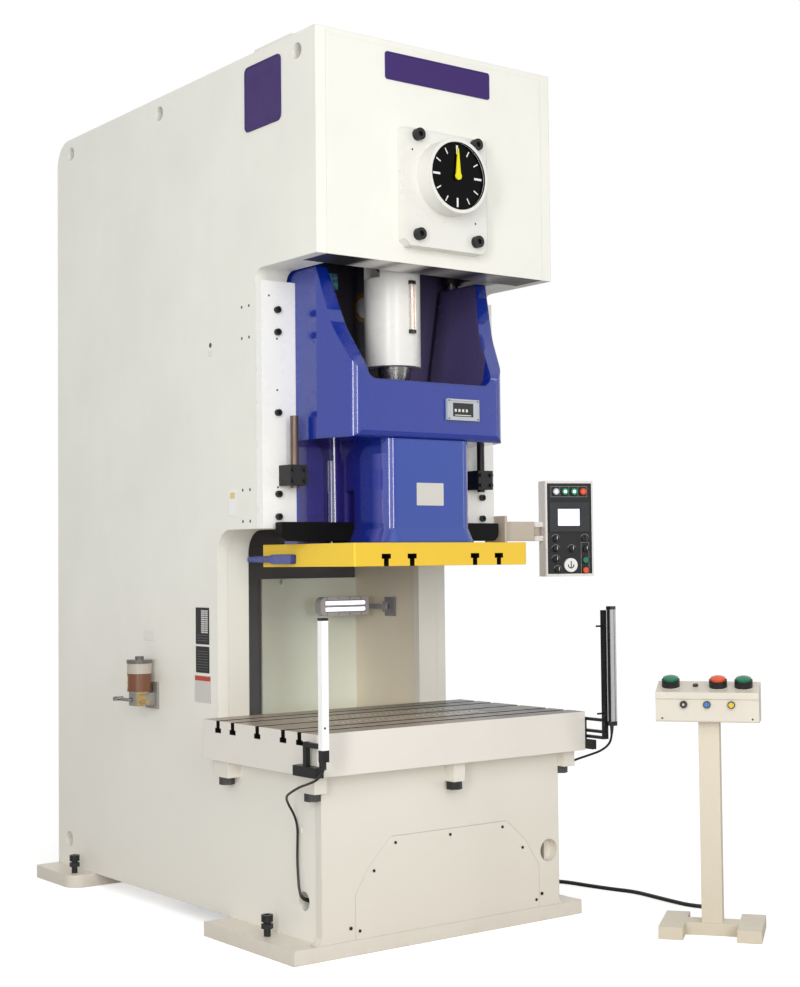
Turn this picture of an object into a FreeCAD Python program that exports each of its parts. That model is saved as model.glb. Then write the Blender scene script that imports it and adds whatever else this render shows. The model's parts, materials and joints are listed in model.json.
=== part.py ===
import FreeCAD, Part
import os
import math

# Mechanical stamping press, C-frame, single crank, about 250 tons.
# X to the right of the operator's view, Y from the operator into the press, Z up.
# Origin: on the floor, on the centre plane, in the front face of the bed. Millimetres.

# ---- frame ----
frame_w = 1240.0
frame_d = 2331.0
side_t = 50.0
foot_t = 60.0
head_top = 3671.0
head_h = 908.0
window_h = 1079.0
head_low = head_top - head_h
top_t = 25.0
back_r = 120.0
throat_y = 455.0
throat_top_z = head_low - window_h
throat_back_y = 771.0
throat_r = 100.0
fillet_r = 50.0
bed_top = 721.0
flange_w = 155.0
flange_t = 40.0
inner_t = 25.0
inner_rear_y = 1860.0
bed_front_t = 40.0
bed_plate_t = 50.0
rear_wall_y = 1287.0
rear_wall_t = 30.0
head_plate_t = 40.0
head_wall_y = 135.0
head_wall_t = 40.0
lift_hole_r = 32.5
tow_hole_r = 37.5
foot_half = 750.0
front_foot_d = 680.0
rear_foot_y = frame_d - 401.0
foot_fillet = 32.0
cover_t = 6.0
cover_gap = 1.0

# ---- centre of the die space, crank axis and stroke ----
die_y = 335.0
crank_z = head_top - 548.0
throw = 100.0
fit = 0.05
seat_gap = 0.3

# ---- bolster ----
bolster_w = 1400.0
bolster_d = 852.0
bolster_t = 166.0
bolster_slots = (-306.0, -190.0, 0.0, 190.0, 306.0)
slot_neck = 28.0
slot_head = 48.0
slot_head_h = 20.0
slot_depth = 50.0

# ---- slide ----
plate_half = 454.0
plate_y0 = -5.0
plate_y1 = 675.0
plate_z = throat_top_z - 159.0
plate_t = 95.0
plate_slots = (-297.0, -166.0, 166.0, 297.0)
stem_w = 24.0
stem_head = 46.0
box_half = 393.0
box_y = 69.0
box_z = plate_z + 525.0
box_under_r = 28.0
lip_z = plate_z + 766.0
wing_z = plate_z + 1241.0
wing_y = 252.0
pocket_half = 320.0
pocket_top_half = 398.0
pocket_r = 45.0
pocket_floor = plate_z + 736.0
slide_back_y = 500.0
front_wall = 51.0
cheek_y = 250.0
guide_y = 402.0
guide_in = 314.0
guide_r = 75.0
recess_y = 455.0
recess_r = 45.0
column_half = 222.0
column_y = 75.0
column_r = 50.0
flare_out = 25.0
flare_h = 60.0

# ---- connection between crank and slide ----
barrel_r = 121.0
barrel_z = pocket_floor + 114.0
wrist_z = crank_z - 263.0
wrist_r = 30.0
eye_r = 60.0
rod_t = 100.0
fork_gap = 5.0
screw_r = 62.0
screw_low = box_z - 90.0
screw_bore_z = screw_low - 60.0
collar_r_top = 82.0

# ---- crankshaft ----
journal_r = 90.0
pin_r = 95.0
web_r = 112.0
web_t = 55.0
big_end_r = 150.0
bush_r = 112.0

# ---- bearing walls ----
crank_wall_y = 540.0
crank_wall_t = 50.0
drive_wall_y = 1640.0
drive_wall_t = 50.0

# ---- gears ----
module = 10.0
gear_teeth = 76
pinion_teeth = 16
gear_y = 645.0
gear_w = 115.0
shaft_r = 45.0

# ---- flywheel drive ----
fly_r = 430.0
fly_y = 1900.0
fly_w = 170.0
drum_r = 180.0
motor_plate_z = 1300.0
motor_z = motor_plate_z + 200.0
motor_r = 150.0
pulley_r = 95.0
belt_w = 17.0
belt_count = 4
belt_pitch = 24.0

# ---- knock-out ----
ko_half = 580.0
ko_y = 326.0
ko_t = 50.0
ko_z = plate_z + plate_t + 11.0
ko_h = 79.0
ko_travel = 125.0
ko_rod_x = 500.0
ko_rod_y = ko_y + ko_t / 2.0
ko_rod_r = 17.0
ko_rod_z = ko_z + 219.0
ko_rod_len = 299.0

# ---- gibs ----
gib_x = 455.0
gib_z0 = throat_top_z
gib_z1 = head_low - 51.0
gib_t = 50.0

V = FreeCAD.Vector
X = V(1, 0, 0)
Y = V(0, 1, 0)
Z = V(0, 0, 1)
half_w = frame_w / 2.0
plate_x = half_w - side_t
flange_x = half_w - flange_w


def box(x0, x1, y0, y1, z0, z1):
    return Part.makeBox(x1 - x0, y1 - y0, z1 - z0, V(x0, y0, z0))


def cyl(r, h, at, axis):
    return Part.makeCylinder(r, h, V(*at), axis)


def ring(r_out, r_in, h, at, axis):
    return cyl(r_out, h, at, axis).cut(cyl(r_in, h, at, axis))


def to_space(plane, u, v, w):
    if plane == "yz":
        return V(w, u, v)
    if plane == "xz":
        return V(u, w, v)
    return V(u, v, w)


def wire(corners, plane, w):
    """Closed outline; each corner is (u, v) or (u, v, radius of a tangent arc)."""
    n = len(corners)
    cuts = []
    for i in range(n):
        p = corners[i]
        a = corners[i - 1]
        b = corners[(i + 1) % n]
        r = p[2] if len(p) > 2 else 0.0
        if r <= 0.0:
            cuts.append((p[:2], None, p[:2]))
            continue
        da = math.hypot(a[0] - p[0], a[1] - p[1])
        db = math.hypot(b[0] - p[0], b[1] - p[1])
        ua = ((a[0] - p[0]) / da, (a[1] - p[1]) / da)
        ub = ((b[0] - p[0]) / db, (b[1] - p[1]) / db)
        half = math.acos(ua[0] * ub[0] + ua[1] * ub[1]) / 2.0
        t = r / math.tan(half)
        mx = ua[0] + ub[0]
        my = ua[1] + ub[1]
        m = math.hypot(mx, my)
        c = (p[0] + mx / m * r / math.sin(half), p[1] + my / m * r / math.sin(half))
        mid = (c[0] - mx / m * r, c[1] - my / m * r)
        cuts.append(((p[0] + ua[0] * t, p[1] + ua[1] * t), mid, (p[0] + ub[0] * t, p[1] + ub[1] * t)))
    edges = []
    for i in range(n):
        s, mid, e = cuts[i]
        nxt = cuts[(i + 1) % n][0]
        if mid is not None:
            arc = Part.Arc(to_space(plane, s[0], s[1], w), to_space(plane, mid[0], mid[1], w),
                           to_space(plane, e[0], e[1], w))
            edges.append(arc.toShape())
        if math.hypot(e[0] - nxt[0], e[1] - nxt[1]) > 1e-6:
            line = Part.LineSegment(to_space(plane, e[0], e[1], w), to_space(plane, nxt[0], nxt[1], w))
            edges.append(line.toShape())
    return Part.Wire(edges)


def prism(corners, plane, w0, w1):
    face = Part.Face(wire(corners, plane, w0))
    return face.extrude(to_space(plane, 0.0, 0.0, 1.0) * (w1 - w0))


def rect(u0, u1, v0, v1, r=0.0):
    return [(u0, v0, r), (u1, v0, r), (u1, v1, r), (u0, v1, r)]


def mirror(shape):
    return shape.mirror(V(0, 0, 0), X)


def both(shape):
    return [shape, mirror(shape)]


def fuse(shapes):
    out = shapes[0]
    if len(shapes) > 1:
        out = out.multiFuse(shapes[1:])
    return out.removeSplitter()


def spin(shape, deg, at, axis):
    copy = shape.copy()
    copy.rotate(V(*at), axis, deg)
    return copy


nodes = {}


def add(name, shapes):
    if not isinstance(shapes, list):
        shapes = [shapes]
    solids = []
    for shape in shapes:
        solids.extend(shape.Solids)
    for solid in solids:
        if solid.Volume <= 0 or not solid.isValid():
            print("bad solid in", name)
    nodes[name] = Part.makeCompound(solids) if len(solids) > 1 else solids[0]


# ================= frame =================
side_outline = [
    (0.0, head_low), (throat_y, head_low, fillet_r), (throat_y, throat_top_z),
    (throat_back_y, throat_top_z, throat_r), (throat_back_y, bed_top),
    (bed_front_t, bed_top), (bed_front_t, foot_t), (frame_d, foot_t),
    (frame_d, head_top, back_r), (0.0, head_top)]
side = prism(side_outline, "yz", plate_x, half_w)
for hole_y in (130.0, 1266.0, frame_d - 155.0):
    side = side.cut(cyl(lift_hole_r, side_t, (plate_x, hole_y, head_top - 74.0), X))
for hole_y, hole_z in ((frame_d - 121.0, 189.0), (124.0, 214.0)):
    side = side.cut(cyl(tow_hole_r, side_t, (plate_x, hole_y, hole_z), X))
add("side_plate_right", side)
add("side_plate_left", mirror(side))

# throat flange: one bent strip that follows the side plate's C outline
inner_y = throat_y + flange_t
flange_outline = [
    (head_wall_y + head_wall_t, head_low), (throat_y, head_low, fillet_r), (throat_y, throat_top_z),
    (throat_back_y, throat_top_z, throat_r), (throat_back_y, bed_top),
    (throat_back_y + flange_t, bed_top),
    (throat_back_y + flange_t, throat_top_z + flange_t, throat_r + flange_t),
    (inner_y, throat_top_z + flange_t), (inner_y, head_low + flange_t, fillet_r + flange_t),
    (head_wall_y + head_wall_t, head_low + flange_t)]
flange = prism(flange_outline, "yz", flange_x, plate_x)
add("throat_flanges", both(flange))

# inner plate: closes the box section from the flange to the drive bay
inner_outline = [
    (head_wall_y + head_wall_t, head_low + flange_t), (inner_y, head_low + flange_t, fillet_r + flange_t),
    (inner_y, throat_top_z + flange_t), (throat_back_y + flange_t, throat_top_z + flange_t,
                                         throat_r + flange_t),
    (throat_back_y + flange_t, bed_top), (inner_rear_y, bed_top), (inner_rear_y, head_top - top_t),
    (head_wall_y + head_wall_t, head_top - top_t)]
inner = prism(inner_outline, "yz", flange_x, flange_x + inner_t)
add("inner_plates", both(inner))

# head front box: front plate, floor strip and bearing wall welded as one channel
bore_front = cyl(bush_r, head_wall_t, (0.0, head_wall_y, crank_z), Y)
head_box = fuse([
    box(-plate_x, plate_x, 0.0, head_plate_t, head_low, head_top - top_t),
    box(-plate_x, plate_x, head_plate_t, head_wall_y, head_low, head_low + flange_t),
    box(-plate_x, plate_x, head_wall_y, head_wall_y + head_wall_t, head_low, head_top - top_t)])
head_box = head_box.cut(bore_front)
head_box = head_box.cut(cyl(60.0, head_plate_t, (0.0, 0.0, crank_z), Y))
add("head_box", [
    head_box,
    box(-plate_x, plate_x, 0.0, frame_d - back_r, head_top - top_t, head_top),
    box(-half_w + 10.0, -plate_x + 90.0, 183.0, 465.0, head_top, head_top + 15.0)])

pinion_z = crank_z - module * (gear_teeth + pinion_teeth) / 2.0
crank_wall = box(-flange_x, flange_x, crank_wall_y, crank_wall_y + crank_wall_t, crank_z - 823.0,
                 head_top - top_t)
crank_wall = crank_wall.cut(cyl(bush_r, crank_wall_t, (0.0, crank_wall_y, crank_z), Y))
pinion_bush_r = 65.0
crank_wall = crank_wall.cut(cyl(pinion_bush_r, crank_wall_t, (0.0, crank_wall_y, pinion_z), Y))

drive_wall = box(-flange_x, flange_x, drive_wall_y, drive_wall_y + drive_wall_t, pinion_z - 563.0,
                 head_top - top_t)
drive_wall = drive_wall.cut(cyl(pinion_bush_r, drive_wall_t, (0.0, drive_wall_y, pinion_z), Y))

# bed front plate with concave fillets down to the foot, and a shallow pocket for its cover
fr = foot_fillet
front_outline = [
    (-half_w - fr, foot_t), (half_w + fr, foot_t), (half_w, foot_t + fr), (half_w, bed_top),
    (-half_w, bed_top), (-half_w, foot_t + fr)]
front = Part.Face(wire(front_outline, "xz", 0.0)).extrude(Y * bed_front_t)
for s in (-1.0, 1.0):
    front = front.cut(cyl(fr, bed_front_t, (s * (half_w + fr), 0.0, foot_t + fr), Y))
cover_outline = [
    (-460.0, foot_t), (505.0, foot_t), (505.0, 235.0), (430.0, 355.0), (325.0, 445.0),
    (-285.0, 445.0), (-388.0, 345.0), (-460.0, 235.0)]
pocket_outline = [
    (-460.0 - cover_gap, foot_t), (505.0 + cover_gap, foot_t), (505.0 + cover_gap, 235.0),
    (430.0, 355.0 + cover_gap), (325.0, 445.0 + cover_gap), (-285.0, 445.0 + cover_gap),
    (-388.0, 345.0 + cover_gap), (-460.0 - cover_gap, 235.0)]
front = front.cut(prism(pocket_outline, "xz", 0.0, cover_t))
front = front.cut(cyl(47.5, bed_front_t, (582.0 - 20.0, 0.0, 295.0), Y))
cover = prism(cover_outline, "xz", 0.0, cover_t)
add("bed_front_plate", [front, cover])
screws = []
screw_at = ((-441.0, 94.0), (-370.0, 320.0), (-262.0, 419.0), (19.0, 421.0), (301.0, 422.0),
            (412.0, 324.0), (487.0, 94.0))
for sx, sz in screw_at:
    screws.append(cyl(6.0, 3.0, (sx, -3.0, sz), Y))
for sx, sz in ((-485.0, 110.0), (518.0, 116.0)):
    screws.append(cyl(7.0, 4.0, (sx, -4.0, sz), Y))

add("cross_walls", [
    crank_wall, drive_wall,
    box(-plate_x, plate_x, bed_front_t, rear_wall_y + rear_wall_t, bed_top - bed_plate_t, bed_top),
    box(-plate_x, plate_x, rear_wall_y, rear_wall_y + rear_wall_t, foot_t, bed_top - bed_plate_t),
    box(-flange_x, flange_x, rear_wall_y, rear_wall_y + rear_wall_t, bed_top, pinion_z - 463.0),
    box(-flange_x, flange_x, rear_wall_y + rear_wall_t, inner_rear_y, motor_plate_z, motor_plate_z + 30.0)])
panel_top = bed_top + 745.0
throat_panel = box(-80.0, flange_x, rear_wall_y - 12.0, rear_wall_y, bed_top, panel_top)
throat_panel = fuse([throat_panel, box(22.0, 38.0, rear_wall_y - 30.0, rear_wall_y - 12.0,
                                         panel_top - 29.0, panel_top - 16.0),
                     box(22.0, 38.0, rear_wall_y - 34.0, rear_wall_y - 30.0,
                         panel_top - 29.0, panel_top - 4.0)])
add("throat_panel", throat_panel)

# foot plates with the holes of the levelling bolts
bolt_x = 690.0
bolt_ys = (285.0, frame_d - 322.0)
bolt_r = 14.0
front_foot = prism(rect(-foot_half, foot_half, 0.0, front_foot_d, 0.0), "xy", 0.0, foot_t)
rear_foot = prism([(-745.0, rear_foot_y, 70.0), (745.0, rear_foot_y, 70.0), (745.0, frame_d, 20.0),
                   (-745.0, frame_d, 20.0)], "xy", 0.0, foot_t)
for s in (-1.0, 1.0):
    front_foot = front_foot.cut(cyl(bolt_r + seat_gap, foot_t, (s * bolt_x, bolt_ys[0], 0.0), Z))
    rear_foot = rear_foot.cut(cyl(bolt_r + seat_gap, foot_t, (s * bolt_x, bolt_ys[1], 0.0), Z))
add("foot_plates", [front_foot, rear_foot])


def hexagon(across_flats, h, at):
    """Hexagonal prism along Z, centred at the given point."""
    pts = []
    for k in range(6):
        a = math.radians(60.0 * k + 30.0)
        pts.append((at[0] + across_flats / math.sqrt(3.0) * math.cos(a),
                    at[1] + across_flats / math.sqrt(3.0) * math.sin(a)))
    return prism(pts, "xy", at[2], at[2] + h)


for s in (-1.0, 1.0):
    for by in bolt_ys:
        shank = cyl(bolt_r, foot_t + 60.0 - 2.0, (s * bolt_x, by, 2.0), Z)
        nut = hexagon(42.0, 20.0, (s * bolt_x, by, foot_t + 30.0))
        head = cyl(24.0, 27.0, (s * bolt_x, by, foot_t + 58.0), Z)
        socket = hexagon(22.0, 14.0, (s * bolt_x, by, foot_t + 71.0))
        screws.append(fuse([shank, nut, head]).cut(socket))

# gibs bolted to the throat flange, and rear gibs behind the slide
gib = box(gib_x, half_w, throat_y - gib_t, throat_y, gib_z0, gib_z1)
rear_gib = box(flange_x - 40.0, flange_x, slide_back_y + fit, crank_wall_y, gib_z0 + 60.0, head_low - 13.0)
add("slide_gibs", both(gib) + both(rear_gib))
for up in (49.0, 143.0, 480.0, 815.0, 908.0):
    at = (gib_x + 92.0, throat_y - gib_t - 16.0, gib_z0 + up)
    screws.extend(both(cyl(14.0, 16.0, at, Y).cut(cyl(7.0, 8.0, at, Y))))

# ================= bolster =================
b0 = die_y - bolster_d / 2.0
b1 = die_y + bolster_d / 2.0
bolster_top = bed_top + bolster_t
bolster = box(-bolster_w / 2.0, bolster_w / 2.0, b0, b1, bed_top, bolster_top)


def tee(u, neck, head, depth, head_h, z_open, sign):
    """T-slot section (u, z); sign is -1 for a slot open upwards and 1 for one open downwards."""
    z1 = z_open + sign * (depth - head_h)
    z2 = z_open + sign * depth
    return [(u - neck / 2.0, z_open), (u + neck / 2.0, z_open), (u + neck / 2.0, z1),
            (u + head / 2.0, z1), (u + head / 2.0, z2), (u - head / 2.0, z2),
            (u - head / 2.0, z1), (u - neck / 2.0, z1)]


for du in bolster_slots:
    section = tee(die_y + du, slot_neck, slot_head, slot_depth, slot_head_h, bolster_top, -1.0)
    bolster = bolster.cut(prism(section, "yz", -bolster_w / 2.0, bolster_w / 2.0))
add("bolster", bolster)

# jack blocks under the overhang, each with its bolt
block_w = 116.0
block_h = 70.0
block_out = 60.0
block_at = 0.375 * bolster_d
jack_across = 56.0
jack_h = 32.0
blocks = []
for s in (-1.0, 1.0):
    for du in (-block_at, block_at):
        yc = die_y + du
        x0 = half_w if s > 0 else -half_w - block_out
        blocks.append(box(x0, x0 + block_out, yc - block_w / 2.0, yc + block_w / 2.0,
                          bed_top - block_h, bed_top))
        xc = s * (half_w + block_out / 2.0)
        screws.append(hexagon(jack_across, jack_h, (xc, yc, bed_top - block_h - jack_h)))
front_block_h = 79.0
blocks.append(box(-6.0, 54.0, -60.0, 0.0, bed_top - front_block_h, bed_top))
screws.append(hexagon(jack_across, jack_h, (18.0, -33.0, bed_top - front_block_h - jack_h)))
add("bolster_blocks", blocks)

# ================= crank train =================
add("bearing_bushes", [
    ring(bush_r, journal_r + fit, head_wall_t, (0.0, head_wall_y, crank_z), Y),
    ring(bush_r, journal_r + fit, crank_wall_t, (0.0, crank_wall_y, crank_z), Y),
    ring(pinion_bush_r, shaft_r + fit, crank_wall_t, (0.0, crank_wall_y, pinion_z), Y),
    ring(pinion_bush_r, shaft_r + fit, drive_wall_t, (0.0, drive_wall_y, pinion_z), Y)])

pin_z = crank_z + throw
rod_y0 = die_y - rod_t / 2.0
rod_y1 = die_y + rod_t / 2.0
web_gap = 5.0
web0 = rod_y0 - web_gap - web_t
web1 = rod_y1 + web_gap


def web(y0):
    """Crank web: a stadium round the journal and the pin."""
    body = box(-web_r, web_r, y0, y0 + web_t, crank_z, pin_z)
    return [body, cyl(web_r, web_t, (0.0, y0, crank_z), Y), cyl(web_r, web_t, (0.0, y0, pin_z), Y)]


dial_spindle_r = 9.0
crank_parts = [cyl(dial_spindle_r, 60.0 + 128.0, (0.0, -128.0, crank_z), Y)]
crank_parts.append(cyl(journal_r, web0 - 60.0, (0.0, 60.0, crank_z), Y))
crank_parts.extend(web(web0))
crank_parts.append(cyl(pin_r, rod_t + 2.0 * web_gap, (0.0, rod_y0 - web_gap, pin_z), Y))
crank_parts.extend(web(web1))
crank_parts.append(cyl(journal_r, gear_y + gear_w + 30.0 - web1 - web_t, (0.0, web1 + web_t, crank_z), Y))
crank = fuse(crank_parts)
add("crankshaft", crank)


def gear(teeth, width, y0, z0, bore_r, phase):
    """Straight-flanked spur gear with clearance at the flanks, axis along Y."""
    rp = module * teeth / 2.0
    ra = rp + 0.8 * module
    rf = rp - 1.2 * module
    step = 2.0 * math.pi / teeth
    pts = []
    for k in range(teeth):
        a = phase + k * step
        for r, share in ((rf, 0.30), (ra, 0.13)):
            pts.append((r, a - share * step))
        for r, share in ((ra, 0.13), (rf, 0.30)):
            pts.append((r, a + share * step))
    corners = [(r * math.sin(a), z0 + r * math.cos(a)) for r, a in pts]
    return prism(corners, "xz", y0, y0 + width).cut(cyl(bore_r, width, (0.0, y0, z0), Y))


# main gear: toothed rim, web with lightening holes, hub
main_gear = gear(gear_teeth, gear_w, gear_y, crank_z, journal_r, math.pi)
rim_in = module * gear_teeth / 2.0 - 50.0
hub_r = 150.0
recess = (gear_w - 45.0) / 2.0
for y0 in (gear_y, gear_y + gear_w - recess):
    main_gear = main_gear.cut(ring(rim_in, hub_r, recess, (0.0, y0, crank_z), Y))
for k in range(6):
    a = math.radians(60.0 * k)
    at = (240.0 * math.sin(a), gear_y, crank_z + 240.0 * math.cos(a))
    main_gear = main_gear.cut(cyl(45.0, gear_w, at, Y))
add("main_gear", main_gear)

pinion = gear(pinion_teeth, gear_w, gear_y, pinion_z, shaft_r, math.pi / pinion_teeth)
shaft_y1 = fly_y + fly_w + 40.0
shaft = cyl(shaft_r, shaft_y1 - crank_wall_y, (0.0, crank_wall_y, pinion_z), Y)
drum_y = drive_wall_y + drive_wall_t + 30.0
drum_w = fly_y - 30.0 - drum_y
nut = cyl(shaft_r + 18.0, 22.0, (0.0, fly_y + fly_w + 1.0, pinion_z), Y)
add("pinion_shaft", fuse([shaft, pinion, nut]))
drum = ring(drum_r, shaft_r, drum_w, (0.0, drum_y, pinion_z), Y)
drum = drum.cut(ring(drum_r, drum_r - 12.0, 14.0, (0.0, drum_y + 30.0, pinion_z), Y))
add("clutch_brake_drum", drum)

# flywheel: rim, web and hub in one revolved section, with the belt grooves turned in the rim
groove_d = 12.0
belt_y0 = fly_y + 50.0
fly_in = fly_r - 90.0
section = [(shaft_r + fit, 0.0), (120.0, 0.0), (120.0, 60.0), (fly_in, 60.0), (fly_in, 0.0), (fly_r, 0.0)]
for k in range(belt_count):
    g0 = belt_y0 - fly_y + k * belt_pitch
    section.extend([(fly_r, g0), (fly_r - groove_d, g0 + 3.0), (fly_r - groove_d, g0 + belt_w - 3.0),
                    (fly_r, g0 + belt_w)])
section.extend([(fly_r, fly_w), (fly_in, fly_w), (fly_in, 110.0), (120.0, 110.0), (120.0, fly_w),
                (shaft_r + fit, fly_w)])
edges = []
for i in range(len(section)):
    p = section[i]
    q = section[(i + 1) % len(section)]
    edges.append(Part.LineSegment(V(p[0], fly_y + p[1], pinion_z), V(q[0], fly_y + q[1], pinion_z)).toShape())
flywheel = Part.Face(Part.Wire(edges)).revolve(V(0.0, 0.0, pinion_z), Y, 360.0)
flywheel = Part.Solid(flywheel) if flywheel.ShapeType == "Shell" else flywheel
add("flywheel", flywheel)

# motor on its plate between the inner plates, with the pulley in the belt plane
motor_y0 = fly_y - 500.0
motor_len = 400.0
motor = [cyl(motor_r, motor_len, (0.0, motor_y0, motor_z), Y),
         cyl(motor_r - 20.0, 60.0, (0.0, motor_y0 - 60.0, motor_z), Y),
         cyl(motor_r + 20.0, 25.0, (0.0, motor_y0 + motor_len - 40.0, motor_z), Y),
         box(-140.0, -90.0, motor_y0 + 40.0, motor_y0 + 300.0, motor_plate_z + 30.0, motor_z),
         box(90.0, 140.0, motor_y0 + 40.0, motor_y0 + 300.0, motor_plate_z + 30.0, motor_z),
         box(-180.0, 180.0, motor_y0 + 40.0, motor_y0 + 300.0, motor_plate_z + 30.0, motor_plate_z + 50.0),
         box(-60.0, 60.0, motor_y0 + 120.0, motor_y0 + 240.0, motor_z + motor_r - 15.0,
             motor_z + motor_r + 60.0)]
motor = fuse(motor)
motor_end = motor_y0 + motor_len
motor_shaft_r = 24.0
motor = motor.cut(cyl(motor_shaft_r + fit, 120.0, (0.0, motor_end - 120.0, motor_z), Y))
add("drive_motor", motor)
pulley = cyl(pulley_r, belt_count * belt_pitch + 8.0, (0.0, belt_y0 - 8.0, motor_z), Y)
for k in range(belt_count):
    g0 = belt_y0 + k * belt_pitch
    pulley = pulley.cut(ring(pulley_r + 1.0, pulley_r - groove_d, belt_w, (0.0, g0, motor_z), Y))
pulley_y1 = belt_y0 + belt_count * belt_pitch
pulley = fuse([pulley, cyl(motor_shaft_r, pulley_y1 - motor_end + 110.0, (0.0, motor_end - 110.0, motor_z), Y)])
add("motor_pulley", pulley)

# drive belts: each one a flat loop of two straight runs and two arcs
belt_low = 2.0
belt_h = 13.0


def loop(r0, r1, grow):
    """Outer outline of two circles and their tangents, in the XZ plane."""
    d = pinion_z - motor_z
    ra = r0 + grow
    rb = r1 + grow
    lean = math.asin((ra - rb) / d)
    c = math.cos(lean)
    sn = math.sin(lean)
    top_r = (ra * c, pinion_z - ra * sn)
    low_r = (rb * c, motor_z - rb * sn)
    e1 = Part.LineSegment(V(low_r[0], 0, low_r[1]), V(top_r[0], 0, top_r[1])).toShape()
    e2 = Part.Arc(V(top_r[0], 0, top_r[1]), V(0, 0, pinion_z + ra), V(-top_r[0], 0, top_r[1])).toShape()
    e3 = Part.LineSegment(V(-top_r[0], 0, top_r[1]), V(-low_r[0], 0, low_r[1])).toShape()
    e4 = Part.Arc(V(-low_r[0], 0, low_r[1]), V(0, 0, motor_z - rb), V(low_r[0], 0, low_r[1])).toShape()
    return Part.Wire([e1, e2, e3, e4])


fly_seat = fly_r - groove_d + belt_low
pul_seat = pulley_r - groove_d + belt_low
belts = []
for k in range(belt_count):
    y0 = belt_y0 + k * belt_pitch + 3.5
    outer = Part.Face(loop(fly_seat, pul_seat, belt_h)).extrude(Y * (belt_w - 7.0))
    hole = Part.Face(loop(fly_seat, pul_seat, 0.0)).extrude(Y * (belt_w - 7.0))
    belt = outer.cut(hole)
    belt.translate(V(0.0, y0, 0.0))
    belts.append(belt)
add("drive_belts", belts)

# rear guard over the drive bay, screwed to the side plates' rear edges
guard = box(-half_w + 30.0, half_w - 30.0, frame_d, frame_d + 5.0, 1150.0, head_top - back_r - 10.0)
for k in range(6):
    z0 = 1300.0 + k * 60.0
    guard = guard.cut(box(-250.0, 250.0, frame_d, frame_d + 5.0, z0, z0 + 22.0))
add("rear_guard", guard)

# ================= connecting rod, barrel and screw =================
rod_outer = [
    (-62.0, wrist_z), (62.0, wrist_z), (75.0, pin_z - 100.0), (-75.0, pin_z - 100.0)]
rod = fuse([
    prism(rod_outer, "xz", rod_y0, rod_y1),
    cyl(eye_r + 12.0, rod_t, (0.0, rod_y0, wrist_z), Y),
    cyl(big_end_r, rod_t, (0.0, rod_y0, pin_z), Y)])
rod = rod.cut(cyl(pin_r + fit, rod_t, (0.0, rod_y0, pin_z), Y))
rod = rod.cut(cyl(wrist_r, rod_t, (0.0, rod_y0, wrist_z), Y))
add("connecting_rod", rod)
add("wrist_pin", cyl(wrist_r, rod_t, (0.0, rod_y0, wrist_z), Y))

fork_half = rod_t / 2.0 + fork_gap
barrel_top = wrist_z + 55.0
slot_floor = wrist_z - eye_r - 12.0 - 34.0
barrel = cyl(barrel_r, barrel_top - barrel_z, (0.0, die_y, barrel_z), Z)
barrel = barrel.cut(box(-barrel_r - 5.0, barrel_r + 5.0, die_y - fork_half, die_y + fork_half,
                        slot_floor, barrel_top))
barrel = barrel.cut(cyl(wrist_r, 2.0 * barrel_r, (0.0, die_y - barrel_r, wrist_z), Y))
barrel = barrel.cut(cyl(screw_r, 200.0, (0.0, die_y, barrel_z), Z))
add("barrel", barrel)
collar_z0 = pocket_floor + 15.0
collar = Part.makeCone(screw_r, collar_r_top, barrel_z - 1.0 - collar_z0, V(0.0, die_y, collar_z0), Z)
screw = cyl(screw_r, barrel_z + 200.0 - screw_low, (0.0, die_y, screw_low), Z)
add("adjusting_screw", fuse([screw, collar]))
gauge_turn = 5.0
gauge_z0 = barrel_z + 138.0
gauge_h = 226.0
gauge = box(-14.0, 14.0, 0.0, 20.0, gauge_z0, gauge_z0 + gauge_h)
gauge = gauge.cut(box(-7.0, 7.0, 0.0, 9.0, gauge_z0 + 20.0, gauge_z0 + gauge_h - 20.0))
gauge = fuse([gauge, cyl(5.0, gauge_h, (0.0, 9.0, gauge_z0), Z)])
gauge.translate(V(0.0, -barrel_r - 16.0, 0.0))
gauge.rotate(V(0.0, 0.0, 0.0), Z, gauge_turn)
gauge.translate(V(0.0, die_y, 0.0))
gauge = gauge.cut(cyl(barrel_r, 400.0, (0.0, die_y, gauge_z0 - 60.0), Z))
add("sight_gauge", gauge)

# ================= slide =================
# upper box: front and slanted cheeks from the plan, leaning back above the front lip
slide_z0 = plate_z + plate_t
plan = [
    (-box_half, box_y, column_r), (box_half, box_y, column_r), (gib_x - fit, cheek_y),
    (gib_x - fit, slide_back_y), (-gib_x + fit, slide_back_y), (-gib_x + fit, cheek_y)]
upper = prism(plan, "xy", box_z, wing_z)
side_cut = [
    (box_y, box_z, box_under_r), (box_y, lip_z + 44.0, 60.0), (178.0, plate_z + 988.0, 300.0),
    (wing_y, wing_z), (slide_back_y, wing_z), (slide_back_y, box_z)]
upper = upper.common(prism(side_cut, "yz", -gib_x, gib_x))

# pocket for the barrel: a funnel through the lip, open to the back above its floor
mouth = [(-pocket_half, lip_z, pocket_r), (pocket_half, lip_z, pocket_r),
         (pocket_top_half, wing_z + 1.0), (-pocket_top_half, wing_z + 1.0)]
upper = upper.cut(prism(mouth, "xz", box_y - 10.0, slide_back_y + 10.0))
upper = upper.cut(box(-pocket_half, pocket_half, box_y + front_wall, slide_back_y + 10.0,
                      pocket_floor, lip_z + pocket_r + 5.0))

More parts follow.
